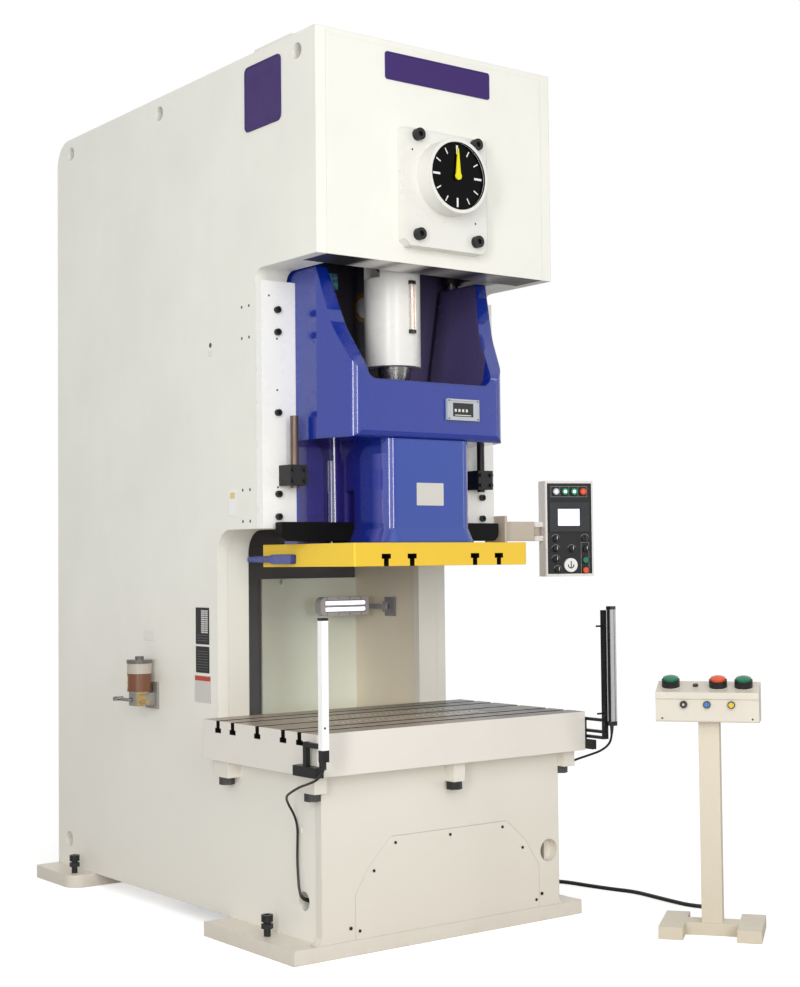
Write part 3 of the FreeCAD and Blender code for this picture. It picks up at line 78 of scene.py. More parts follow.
class Tree:
    """A material's node tree, with short calls for noise, masks by place and mixes of colour.

    A CAD node stands at the origin, so its object coordinates are metres in the row frame. They move
    with the piece, so a mask stays where it belongs in every pose.
    """

    def __init__(self, name):
        self.mat = bpy.data.materials.new(name)
        self.mat.use_nodes = True
        self.nt = self.mat.node_tree
        self.bsdf = self.nt.nodes["Principled BSDF"]
        self.coord = self.nt.nodes.new("ShaderNodeTexCoord")
        self.sep = None

    def node(self, kind, **values):
        n = self.nt.nodes.new(kind)
        for key, value in values.items():
            setattr(n, key, value)
        return n

    def link(self, a, b):
        self.nt.links.new(a, b)

    def noise(self, scale, detail=3.0, rough=0.55, stretch=None):
        n = self.node("ShaderNodeTexNoise")
        n.inputs["Scale"].default_value = scale
        n.inputs["Detail"].default_value = detail
        n.inputs["Roughness"].default_value = rough
        src = self.coord.outputs["Object"]
        if stretch:
            m = self.node("ShaderNodeMapping")
            m.inputs["Scale"].default_value = stretch
            self.link(src, m.inputs["Vector"])
            src = m.outputs["Vector"]
        self.link(src, n.inputs["Vector"])
        return n.outputs["Fac"]

    def spread(self, fac, lo, hi):
        """Stretches a noise over lo to hi."""
        m = self.node("ShaderNodeMapRange")
        m.inputs["From Min"].default_value = NOISE_LO
        m.inputs["From Max"].default_value = NOISE_HI
        m.inputs["To Min"].default_value = lo
        m.inputs["To Max"].default_value = hi
        self.link(fac, m.inputs["Value"])
        return m.outputs["Result"]

    def mix(self, fac, a, b):
        m = self.node("ShaderNodeMix", data_type="RGBA")
        self.link(fac, m.inputs["Factor"])
        for value, key in ((a, COLOR_A), (b, COLOR_B)):
            if isinstance(value, tuple):
                m.inputs[key].default_value = value + (1.0,)
            else:
                self.link(value, m.inputs[key])
        return m.outputs[COLOR_OUT]

    def math(self, op, a, b=None, c=None):
        m = self.node("ShaderNodeMath", operation=op)
        for i, value in enumerate((a, b, c)):
            if value is None:
                continue
            if isinstance(value, (int, float)):
                m.inputs[i].default_value = value
            else:
                self.link(value, m.inputs[i])
        return m.outputs[0]

    def axis(self, name):
        if self.sep is None:
            self.sep = self.node("ShaderNodeSeparateXYZ")
            self.link(self.coord.outputs["Object"], self.sep.inputs[0])
        return self.sep.outputs[name]

    def above(self, name, value):
        return self.math("GREATER_THAN", self.axis(name), value)

    def below(self, name, value):
        return self.math("LESS_THAN", self.axis(name), value)

    def both(self, *masks):
        out = masks[0]
        for m in masks[1:]:
            out = self.math("MULTIPLY", out, m)
        return out

    def either(self, *masks):
        out = masks[0]
        for m in masks[1:]:
            out = self.math("MAXIMUM", out, m)
        return out

    def between(self, name, lo, hi):
        return self.both(self.above(name, lo), self.below(name, hi))

    def near(self, name, centre, half):
        return self.math("COMPARE", self.axis(name), centre, half)

    def clamp(self, value, lo, hi):
        return self.math("MINIMUM", self.math("MAXIMUM", value, lo), hi)

    def away(self, value, centre):
        """How far value lies from centre, to either side."""
        return self.math("ABSOLUTE", self.math("SUBTRACT", value, centre))

    def tent(self, value, centre, half):
        """1 at centre, falling evenly to 0 at half to either side."""
        fall = self.math("DIVIDE", self.away(value, centre), half)
        return self.math("MAXIMUM", self.math("SUBTRACT", 1.0, fall), 0.0)

    def normal(self, name):
        g = self.node("ShaderNodeNewGeometry")
        s = self.node("ShaderNodeSeparateXYZ")
        self.link(g.outputs["Normal"], s.inputs[0])
        return s.outputs[name]

    def bump(self, height, strength, distance, edge=0.0):
        """Fine relief; edge rounds the light on the sharp edges by that many metres."""
        b = self.node("ShaderNodeBump")
        b.inputs["Strength"].default_value = strength
        b.inputs["Distance"].default_value = distance
        self.link(height, b.inputs["Height"])
        if edge > 0.0:
            soft = self.node("ShaderNodeBevel", samples=4)
            soft.inputs["Radius"].default_value = edge
            self.link(soft.outputs["Normal"], b.inputs["Normal"])
        self.link(b.outputs["Normal"], self.bsdf.inputs["Normal"])

    def turned(self, origin, degrees):
        """Width and depth in a frame that stands at origin and is turned about the vertical."""
        a = math.radians(degrees)
        dx = self.math("SUBTRACT", self.axis("X"), origin[0])
        dy = self.math("SUBTRACT", self.axis("Y"), origin[1])
        u = self.math("ADD", self.math("MULTIPLY", dx, math.cos(a)),
                      self.math("MULTIPLY", dy, math.sin(a)))
        v = self.math("SUBTRACT", self.math("MULTIPLY", dy, math.cos(a)),
                      self.math("MULTIPLY", dx, math.sin(a)))
        return u, v

    def span(self, value, lo, hi):
        return self.math("COMPARE", value, (lo + hi) / 2.0, (hi - lo) / 2.0)

    def less(self, value, limit):
        return self.math("LESS_THAN", value, limit)

    def more(self, value, limit):
        return self.math("GREATER_THAN", value, limit)

    def reach(self, a, b, ca, cb):
        """Distance of (a, b) from the point (ca, cb)."""
        da = self.math("SUBTRACT", a, ca)
        db = self.math("SUBTRACT", b, cb)
        squares = self.math("ADD", self.math("MULTIPLY", da, da), self.math("MULTIPLY", db, db))
        return self.math("SQRT", squares)

    def disc(self, a, b, ca, cb, r):
        return self.less(self.reach(a, b, ca, cb), r)

    def spots(self, a, b, places, r):
        """Round spots of radius r at the places (ca, cb)."""
        return self.either(*[self.disc(a, b, ca, cb, r) for ca, cb in places])

    def glow(self, mask, color, strength):
        self.bsdf.inputs["Emission Color"].default_value = color + (1.0,)
        self.link(self.math("MULTIPLY", mask, strength), self.bsdf.inputs["Emission Strength"])


def tint(color, k):
    """The colour k times as light, kept within 0 and 1."""
    return tuple(min(1.0, max(0.0, c * k)) for c in color)


COAT_ROUGHNESS = 0.04  # a wet-looking clear coat
COAT_IOR = 1.65


def srgb(r, g, b):
    """Linear colour from 0-255 display values."""
    out = []
    for v in (r, g, b):
        v = v / 255.0
        out.append(v / 12.92 if v <= 0.04045 else ((v + 0.055) / 1.055) ** 2.4)
    return tuple(out)


def enamel(name, color, rough=0.38, var=0.05, grain=0.25, coat=0.0, zones=(), spec=0.5, edge=0.004,
           glow=None):
    """Sprayed enamel: faint clouds, faint upright smears and an orange-peel bump.

    zones are pairs of a mask by place and the colour it has there, the last one on top. edge is the
    radius in metres that the light sees on sharp edges. glow is a mask, a colour and a strength.
    """
    t = Tree(name)
    clouds = t.noise(1.7, 4.0)
    col = t.mix(t.spread(clouds, 0.0, 1.0), tint(color, 1.0 - var), tint(color, 1.0 + var * 0.4))
    smear = t.noise(9.0, 5.0, 0.6, (1.0, 1.0, 0.25))
    col = t.mix(t.spread(smear, 0.0, 0.10), col, tint(color, 0.82))
    for make, c in zones:
        col = t.mix(make(t), col, c)
    t.link(col, t.bsdf.inputs["Base Color"])
    rough_fac = t.noise(14.0, 3.0)
    t.link(t.spread(rough_fac, rough - 0.05, rough + 0.06), t.bsdf.inputs["Roughness"])
    t.bsdf.inputs["Specular IOR Level"].default_value = spec
    if coat > 0.0:
        t.bsdf.inputs["Coat Weight"].default_value = coat
        t.bsdf.inputs["Coat Roughness"].default_value = COAT_ROUGHNESS
        t.bsdf.inputs["Coat IOR"].default_value = COAT_IOR
    if glow:
        t.glow(glow[0](t), glow[1], glow[2])
    t.bump(t.noise(420.0, 2.0), grain * 0.25, 0.0006, edge)
    return t.mat


def metal(name, color, rough=0.32, stretch=(1.0, 1.0, 1.0), lines=180.0, strength=0.15, metallic=1.0,
          zones=()):
    """Machined or cast metal: fine cutter lines, drawn out where stretch is small, and a little staining."""
    t = Tree(name)
    stain = t.noise(6.0, 5.0, 0.6)
    col = t.mix(t.spread(stain, 0.0, 1.0), tint(color, 0.82), tint(color, 1.08))
    for make, c in zones:
        col = t.mix(make(t), col, c)
    t.link(col, t.bsdf.inputs["Base Color"])
    t.bsdf.inputs["Metallic"].default_value = metallic
    cut = t.noise(lines, 2.0, 0.5, stretch)
    t.link(t.spread(cut, rough - 0.08, rough + 0.12), t.bsdf.inputs["Roughness"])
    t.bump(cut, strength, 0.0005)
    return t.mat


def plastic(name, color, rough=0.3, coat=0.3):
    """Moulded plastic or rubber with a fine even grain."""
    t = Tree(name)
    fac = t.noise(60.0, 2.0)
    col = t.mix(t.spread(fac, 0.0, 1.0), tint(color, 0.93), tint(color, 1.05))
    t.link(col, t.bsdf.inputs["Base Color"])
    t.link(t.spread(t.noise(90.0, 2.0), rough - 0.04, rough + 0.05), t.bsdf.inputs["Roughness"])
    t.bsdf.inputs["Coat Weight"].default_value = coat
    t.bump(t.noise(900.0, 1.0), 0.05, 0.0003)
    return t.mat


cream = srgb(243, 242, 233)
white = srgb(244, 242, 236)
beige = srgb(236, 226, 206)
blue = srgb(14, 45, 150)
yellow = srgb(244, 203, 62)
purple = srgb(66, 46, 108)
# near-black, painted as shade inside the head's box
shade_black = srgb(26, 24, 26)
# a dark tone painted into small holes as the shade inside them
hole_shade = srgb(40, 38, 36)


# ---------------------------------------------------------------- zones: where a colour changes on one piece
# places in metres, in the row frame; a mask starts a little before the face it is for
DIE_Y = 0.335         # middle of the bolster and of the slide, front to back
BOLSTER_TOP = 0.8865
CRANK_Z = 3.123
LEFT_SKIN = -0.6195   # the left side plate's outer face lies just beyond
FACING = 0.9          # a normal's share along an axis that counts as facing it
PIN_PITCH = 0.060
PIN_FIELD_X, PIN_FIELD_Y = 0.390, 0.180


def bolster_top(t):
    """The ground top face."""
    return t.both(t.above("Z", BOLSTER_TOP), t.more(t.normal("Z"), FACING))


def bolster_far_shade(t):
    """Painted shade: the ground top darkens towards its right-hand end."""
    ramp = t.math("MULTIPLY", t.math("ADD", t.axis("X"), 0.15), 1.6)
    return t.both(bolster_top(t), t.clamp(ramp, 0.0, 0.9))


def bolster_slots(t):
    """Inside the five T-slots, painted dark as shade."""
    rows = [t.near("Y", DIE_Y + d, 0.0246) for d in (-0.306, -0.190, 0.0, 0.190, 0.306)]
    return t.both(t.either(*rows), t.above("Z", 0.835), t.below("Z", 0.8866), t.near("X", 0.0, 0.6995))


def bolster_pins(t, r=0.0115):
    """A field of pin holes round the middle of the bolster, clear of the T-slots; as a zone the holes are
    painted dark as shade.
    """
    def in_cell(name, start):
        """Distance from the middle of the cell, along one axis."""
        cells = t.math("DIVIDE", t.math("SUBTRACT", t.axis(name), start), PIN_PITCH)
        return t.math("MULTIPLY", t.math("SUBTRACT", t.math("FRACT", cells), 0.5), PIN_PITCH)

    holes = t.disc(in_cell("X", -PIN_FIELD_X), in_cell("Y", 0.035), 0.0, 0.0, r)
    field = t.both(t.near("X", 0.0, PIN_FIELD_X), t.near("Y", DIE_Y, PIN_FIELD_Y), bolster_top(t))
    clear = [t.more(t.away(t.axis("Y"), DIE_Y + d), 0.044) for d in (0.0, -0.190, 0.190)]
    return t.both(holes, field, *clear)


def bolster_rim_highlights(t):
    """Painted highlights: the bright countersinks round the pin holes."""
    return bolster_pins(t, 0.0185)


def plate_slots(t):
    """Inside the slide plate's four T-slots, painted dark as shade."""
    rows = [t.near("X", u, 0.0236) for u in (-0.297, -0.166, 0.166, 0.297)]
    return t.both(t.either(*rows), t.between("Z", 1.5253, 1.577), t.between("Y", -0.0045, 0.6745))


def plate_left_painted_light(t):
    """Painted light: the plate's left edge, a little lighter and stronger in tone than its front."""
    return t.less(t.normal("X"), -0.5)


def dial_black(t):
    """The dial's face, inside its rim."""
    return t.both(t.disc(t.axis("X"), t.axis("Z"), 0.0, CRANK_Z, 0.1402), t.between("Y", -0.1302, -0.112))


def dial_ticks(t):
    """The ticks stand just proud of the dial's face."""
    return t.both(dial_black(t), t.between("Y", -0.1215, -0.1196))


def cover_holes(t):
    """Two dowel holes in the dial's cover plate, painted dark as shade."""
    places = ((-0.178, 3.224), (0.152, 2.955))
    return t.both(t.spots(t.axis("X"), t.axis("Z"), places, 0.0045), t.below("Y", -0.049))


def side_holes(t):
    """The small holes on the left side plate: four pairs beside the gib and a larger one behind them, painted
    dark as shade.
    """
    y, z = t.axis("Y"), t.axis("Z")
    pairs = [(yy, zz) for zz in (2.617, 2.485, 1.848, 1.717) for yy in (0.563, 0.506)]
    return t.both(t.either(t.spots(y, z, pairs, 0.0065), t.disc(y, z, 0.822, 2.485, 0.011)),
                  t.below("X", LEFT_SKIN))


def gib_holes(t):
    """Dowel holes in the left gib's front, painted dark as shade."""
    places = ((-0.585, 2.649), (-0.547, 2.472), (-0.547, 2.258), (-0.547, 1.855))
    return t.both(t.spots(t.axis("X"), t.axis("Z"), places, 0.0045), t.below("Y", 0.4055))


def head_inside_shade(t):
    """The inside of the head's box, painted near-black as shade."""
    return t.both(t.above("Y", 0.041), t.below("Z", 3.64))


def head_underside_shade(t):
    """The head's underside, painted dark as shade."""
    return t.both(t.less(t.normal("Z"), -FACING), t.below("Z", 2.7635))


def underside_reflections(t):
    """Painted reflections on the milled steel strip under the head: soft bright bands across it."""
    bands = []
    for centre, half, top in ((-0.285, 0.080, 1.6), (-0.120, 0.100, 1.3), (0.100, 0.120, 0.45),
                              (0.330, 0.10, 0.3)):
        bands.append(t.math("MULTIPLY", t.tent(t.axis("X"), centre, half), top))
    streak = t.spread(t.noise(60.0, 2.0, 0.5, (1.0, 0.03, 0.03)), 0.75, 1.1)
    shine = t.math("MULTIPLY", t.either(*bands), streak)
    return t.both(head_underside_shade(t), t.math("MINIMUM", shine, 1.0))


def crown_dark(t):
    """The walls inside the crown, behind the slide, where little light falls."""
    return t.both(t.above("Z", 2.0), t.below("Y", 1.2))


def crown_blue_shade(t):
    """Their right-hand part, painted as shade in a dark tone of the slide's blue."""
    return t.both(crown_dark(t), t.between("X", 0.10, 0.62))


def crown_cyan_gleams(t):
    """Painted highlights: two pale blue gleams on the oiled wall behind the slide."""
    one = t.both(t.between("X", -0.360, -0.300), t.between("Z", 2.779, 2.834))
    two = t.both(t.between("X", -0.218, -0.142), t.between("Z", 2.730, 2.800))
    ragged = t.spread(t.noise(46.0, 4.0), 0.0, 1.0)
    return t.both(t.either(one, two), ragged, t.below("Y", 1.2))


def throat_dark_and_shade(t):
    """The dark band round the throat's pale panel: partly the dark grey interior beyond it, partly painted
    shade.
    """
    return t.both(t.near("Y", 1.287, 0.003), t.between("Z", 0.722, 1.95))


def slide_inside(t):
    """Inner faces of the slide's pocket and of the knock-out slot, which never see the light."""
    across = t.less(t.math("ABSOLUTE", t.normal("Y")), 0.5)
    pocket = t.both(t.near("X", 0.0, 0.3995), t.above("Z", 2.2605), t.above("Y", 0.1195), across)
    slot = t.both(t.near("X", 0.0, 0.2485), t.between("Z", 1.632, 1.842), t.between("Y", 0.325, 0.377))
    return t.either(pocket, slot)


def column_front_sheen(t):
    """Painted sheen: the column's front in a lighter blue."""
    return t.math("MULTIPLY", t.both(t.below("Z", 2.045), t.below("Y", 0.0765)), 0.75)


def column_gleam(t):
    """A painted highlight: a soft upright gleam on the column's left face."""
    left_face = t.both(t.below("X", -0.17), t.below("Z", 1.99), t.less(t.normal("X"), -0.5))
    return t.math("MULTIPLY", t.both(t.tent(t.axis("Y"), 0.140, 0.055), left_face), 0.8)


def slide_recess(t):
    """The hollow beside the column, where the paint lies in shade, fading out towards the front."""
    depth = t.math("MULTIPLY", t.math("SUBTRACT", t.axis("Y"), 0.20), 4.0)
    return t.both(t.clamp(depth, 0.0, 0.75), t.below("Z", 2.05), t.near("X", 0.0, 0.44))


# the lubricator's jar stands on its base at JAR_Z, is filled to OIL_Z and closed at CAP_Z
JAR_Z, OIL_Z, CAP_Z = 0.9705, 1.050, 1.0955
JAR_X, JAR_HALF = -0.690, 0.0556


def jar_zone(t):
    """The filled part of the jar."""
    return t.both(t.between("Z", JAR_Z, OIL_Z), t.near("X", JAR_X, JAR_HALF))


def clear_zone(t):
    """The jar above the oil."""
    return t.both(t.between("Z", OIL_Z, CAP_Z), t.near("X", JAR_X, JAR_HALF))


def cap_zone(t):
    return t.above("Z", CAP_Z)


def label_zone(t):
    """A bare yellow patch on the jar."""
    return t.both(jar_zone(t), t.between("Z", 0.985, 1.040), t.above("Y", 1.352), t.below("X", -0.695))


def brass_zone(t):
    """The brass stub in front of the jar's base."""
    return t.both(t.below("Z", JAR_Z), t.between("Y", 1.2, 1.312), t.near("X", -0.700, 0.020))


def gauge_ends(t):
    """The sight gauge's two dark end fittings."""
    return t.either(t.below("Z", 2.529), t.above("Z", 2.723))


def gauge_tube(t):
    """The gauge's pale tube, in front of its back plate."""
    return t.both(t.between("Z", 2.534, 2.718), t.near("X", 0.0122, 0.0066), t.below("Y", 0.2135))


def bar_caps(t):
    """The end caps of the light curtain's two bars."""
    left = t.both(t.below("X", 0.0), t.either(t.below("Z", 0.842), t.above("Z", 1.325)))
    other = t.both(t.above("X", 0.0), t.either(t.below("Z", 0.850), t.above("Z", 1.328)))
    return t.either(left, other)


def bar_lens(t):
    """The bars' dark windows, which look at each other, and the right bar's seam."""
    strip = t.both(t.above("X", 0.0), t.near("Y", -0.210, 0.0085), t.less(t.normal("X"), -0.5))
    seam = t.both(t.above("X", 0.0), t.near("X", 0.7535, 0.0016), t.less(t.normal("Y"), -0.5))
    lens = t.both(t.below("X", 0.0), t.near("Y", -0.210, 0.0085), t.more(t.normal("X"), 0.5))
    return t.either(strip, seam, lens)


def bar_dot(t):
    """One small dark spot low on the left bar."""
    spot = t.disc(t.axis("X"), t.axis("Z"), -0.7525, 0.925, 0.0045)
    return t.both(t.below("X", 0.0), spot, t.below("Y", -0.22))


def bar_white(t):
    """The left bar is white, the right one grey."""
    return t.below("X", 0.0)


def clip_white(t):
    """The left cable's clip on the side plate."""
    return t.both(t.below("X", LEFT_SKIN), t.between("Z", 0.474, 0.500), t.between("Y", 0.136, 0.168))


def jack_grey(t):
    """The jack screws under the bolster's overhang."""
    return t.both(t.between("Z", 0.600, 0.655), t.either(t.below("X", -0.61), t.above("X", 0.61)))


def lamp_tubes(t):
    """The work lamp's two lit tubes."""
    rows = t.either(t.near("Z", 1.319, 0.0092), t.near("Z", 1.349, 0.0092))
    return t.both(rows, t.between("X", 0.1405, 0.3715), t.between("Y", 1.0675, 1.0885))


def lamp_recess(t):
    """The recess that the tubes lie in."""
    return t.both(t.between("X", 0.1395, 0.3725), t.between("Z", 1.3035, 1.3645),
                  t.between("Y", 1.0665, 1.0785))


def lamp_knuckle(t):
    """The lamp's link to its arm."""
    return t.above("X", 0.3925)


def lamp_screws(t):
    """Two rows of cover screws."""
    places = [(x, z) for z in (1.297, 1.371) for x in (0.150, 0.215, 0.280, 0.345)]
    return t.both(t.spots(t.axis("X"), t.axis("Z"), places, 0.0035), t.below("Y", 1.0665))


def indicator_window(t):
    """The die-height indicator's black window."""
    return t.both(t.between("X", 0.107, 0.218), t.between("Z", 2.152, 2.210), t.below("Y", 0.0605))


def indicator_marks(t):
    """Four plain blocks in the window, where a counter's wheels are, and a line under them."""
    wheels = t.either(*[t.near("X", x, 0.0055) for x in (0.122, 0.142, 0.162, 0.182)])
    blocks = t.both(wheels, t.near("Z", 2.178, 0.006))
    line = t.both(t.near("Z", 2.158, 0.0018), t.near("X", 0.162, 0.044))
    return t.both(t.either(line, blocks), t.below("Y", 0.0605))


def indicator_screws(t):
    """One screw in each corner."""
    places = [(x, z) for x in (0.084, 0.241) for z in (2.143, 2.219)]
    return t.both(t.spots(t.axis("X"), t.axis("Z"), places, 0.0042), t.below("Y", 0.0555))


# the operator's box: where its front left corner is and how many degrees it is turned; u runs across
# its face from there and v into it
BOX = ((0.867, 0.330), -23.0)
LAMP_ROW_Z = 1.858
MODE_DIAL = (0.120, 1.518)
FIXED_SELECTORS = ((0.050, 1.640), (0.050, 1.593), (0.050, 1.545), (0.058, 1.496), (0.128, 1.592))
GREEN = srgb(26, 150, 104)
PALE_GREEN = srgb(226, 250, 238)
ORANGE = srgb(226, 74, 36)


def box_face(t):
    """The black front plate."""
    u, v = t.turned(*BOX)
    return t.both(t.less(v, 0.0034), t.span(u, 0.0098, 0.2262), t.between("Z", 1.4778, 1.8962))


def box_bezel(t):
    """The frame round the screen."""
    u, v = t.turned(*BOX)
    return t.both(t.less(v, 0.0028), t.span(u, 0.0198, 0.2142), t.between("Z", 1.6718, 1.8082))


def box_screen(t):
    """The lit screen, blank."""
    u, v = t.turned(*BOX)
    return t.both(t.less(v, 0.0034), t.more(v, -0.0012), t.span(u, 0.0622, 0.1678),
                  t.between("Z", 1.7000, 1.7775))


def box_lines(t):
    """Thin frames round the lamps and round the buttons, and short plain marks over the selectors."""
    u, v = t.turned(*BOX)
    marks = []
    for u0, u1, z0, z1 in ((0.030, 0.206, 1.834, 1.882), (0.174, 0.212, 1.474, 1.622)):
        for uu in (u0, u1):
            marks.append(t.both(t.span(u, uu - 0.0008, uu + 0.0008), t.between("Z", z0, z1)))
        for zz in (z0, z1):
            marks.append(t.both(t.span(u, u0, u1), t.near("Z", zz, 0.0008)))
    for uu in (0.074, 0.118, 0.162):
        marks.append(t.both(t.span(u, uu - 0.0006, uu + 0.0006), t.between("Z", 1.834, 1.882)))
    dashes = t.more(t.math("SINE", t.math("MULTIPLY", u, 1100.0)), -0.2)
    for uu, zz in FIXED_SELECTORS + ((0.193, 1.641),):
        ring = t.span(t.reach(u, t.axis("Z"), uu, zz), 0.0185, 0.0215)
        marks.append(t.both(ring, t.more(t.axis("Z"), zz + 0.006), dashes))
    return t.both(t.either(*marks), box_face(t), t.more(v, 0.0010))


def box_lamp(k, r=0.0152):
    """Lamp number k in the top row, to radius r."""
    def zone(t):
        u, v = t.turned(*BOX)
        return t.both(t.disc(u, t.axis("Z"), 0.052 + 0.044 * k, LAMP_ROW_Z, r), t.less(v, -0.0032))
    return zone


def box_lamp_core(k):
    """The bright middle of lamp number k."""
    return box_lamp(k, 0.0080)


def box_disc(t):
    """The mode dial's white disc."""
    u, v = t.turned(*BOX)
    return t.both(t.disc(u, t.axis("Z"), MODE_DIAL[0], MODE_DIAL[1], 0.0322), t.less(v, 0.0028))


def box_disc_slot(t):
    """The plain mark on the mode dial: an open ring and a bar."""
    u, v = t.turned(*BOX)
    ring = t.span(t.reach(u, t.axis("Z"), MODE_DIAL[0], MODE_DIAL[1]), 0.011, 0.016)
    open_ring = t.both(ring, t.less(t.axis("Z"), 1.521))
    bar = t.both(t.span(u, 0.118, 0.123), t.between("Z", 1.503, 1.536))
    return t.both(t.either(open_ring, bar), t.less(v, -0.0075))


def selector_marks(t):
    """A white pointer line on each selector's knob."""
    u, v = t.turned(*BOX)
    lines = []
    for uu, zz in FIXED_SELECTORS + ((0.196, 1.592),):
        lines.append(t.both(t.span(u, uu - 0.0014, uu + 0.0014), t.between("Z", zz - 0.002, zz + 0.0122)))
    return t.both(t.either(*lines), t.less(v, -0.0195))


def box_glow(t):
    """What is lit: the screen and the first three lamps."""
    lamps = [box_lamp_core(k)(t) for k in range(3)]
    return t.either(box_screen(t), *lamps)


# the two-hand stand: where it is and how many degrees it is turned
STAND = ((0.905, -0.621), -52.6)
LID_SLOPE, LID_Z = 0.2676, 1.02597  # the lid's height is LID_Z + LID_SLOPE * v
KNOB_U, KNOB_Z = (-0.094, 0.0, 0.098), 0.947


def stand_collars(t):
    """Everything above the sloping lid: the collars and the small button."""
    u, v = t.turned(*STAND)
    lid = t.math("ADD", t.math("MULTIPLY", v, LID_SLOPE), LID_Z)
    return t.both(t.more(t.math("SUBTRACT", t.axis("Z"), lid), 0.0014), t.above("Z", 0.99))


def stand_knob(k, r):
    """Selector number k on the stand's front, to radius r."""
    def zone(t):
        u, v = t.turned(*STAND)
        return t.both(t.less(v, -0.1074), t.disc(u, t.axis("Z"), KNOB_U[k], KNOB_Z, r))
    return zone


def stand_holes(t):
    """Two screw holes low on the stand's front, painted dark as shade."""
    u, v = t.turned(*STAND)
    return t.both(t.less(v, -0.106), t.spots(u, t.axis("Z"), ((-0.182, 0.889), (0.182, 0.889)), 0.0042))


# painted shade: below this height the paint is darkened and warmed towards the floor
SHADE_FROM = 1.55  # height in metres below which the paint grows warmer


def low_shade(t):
    """Painted shade: the paint grows darker, warmer and greyer towards the floor."""
    low = t.math("DIVIDE", t.math("SUBTRACT", SHADE_FROM, t.axis("Z")), SHADE_FROM)
    return t.math("MULTIPLY", t.clamp(low, 0.0, 1.0), 0.9)


def foot_dust(t):
    """A little floor dust on the lowest part of the paint."""
    fade = t.math("MULTIPLY", t.math("SUBTRACT", 0.10, t.axis("Z")), 6.0)
    return t.math("MAXIMUM", t.math("MULTIPLY", fade, t.spread(t.noise(11.0, 4.0), 0.1, 0.5)), 0.0)


DUST = srgb(196, 188, 170)
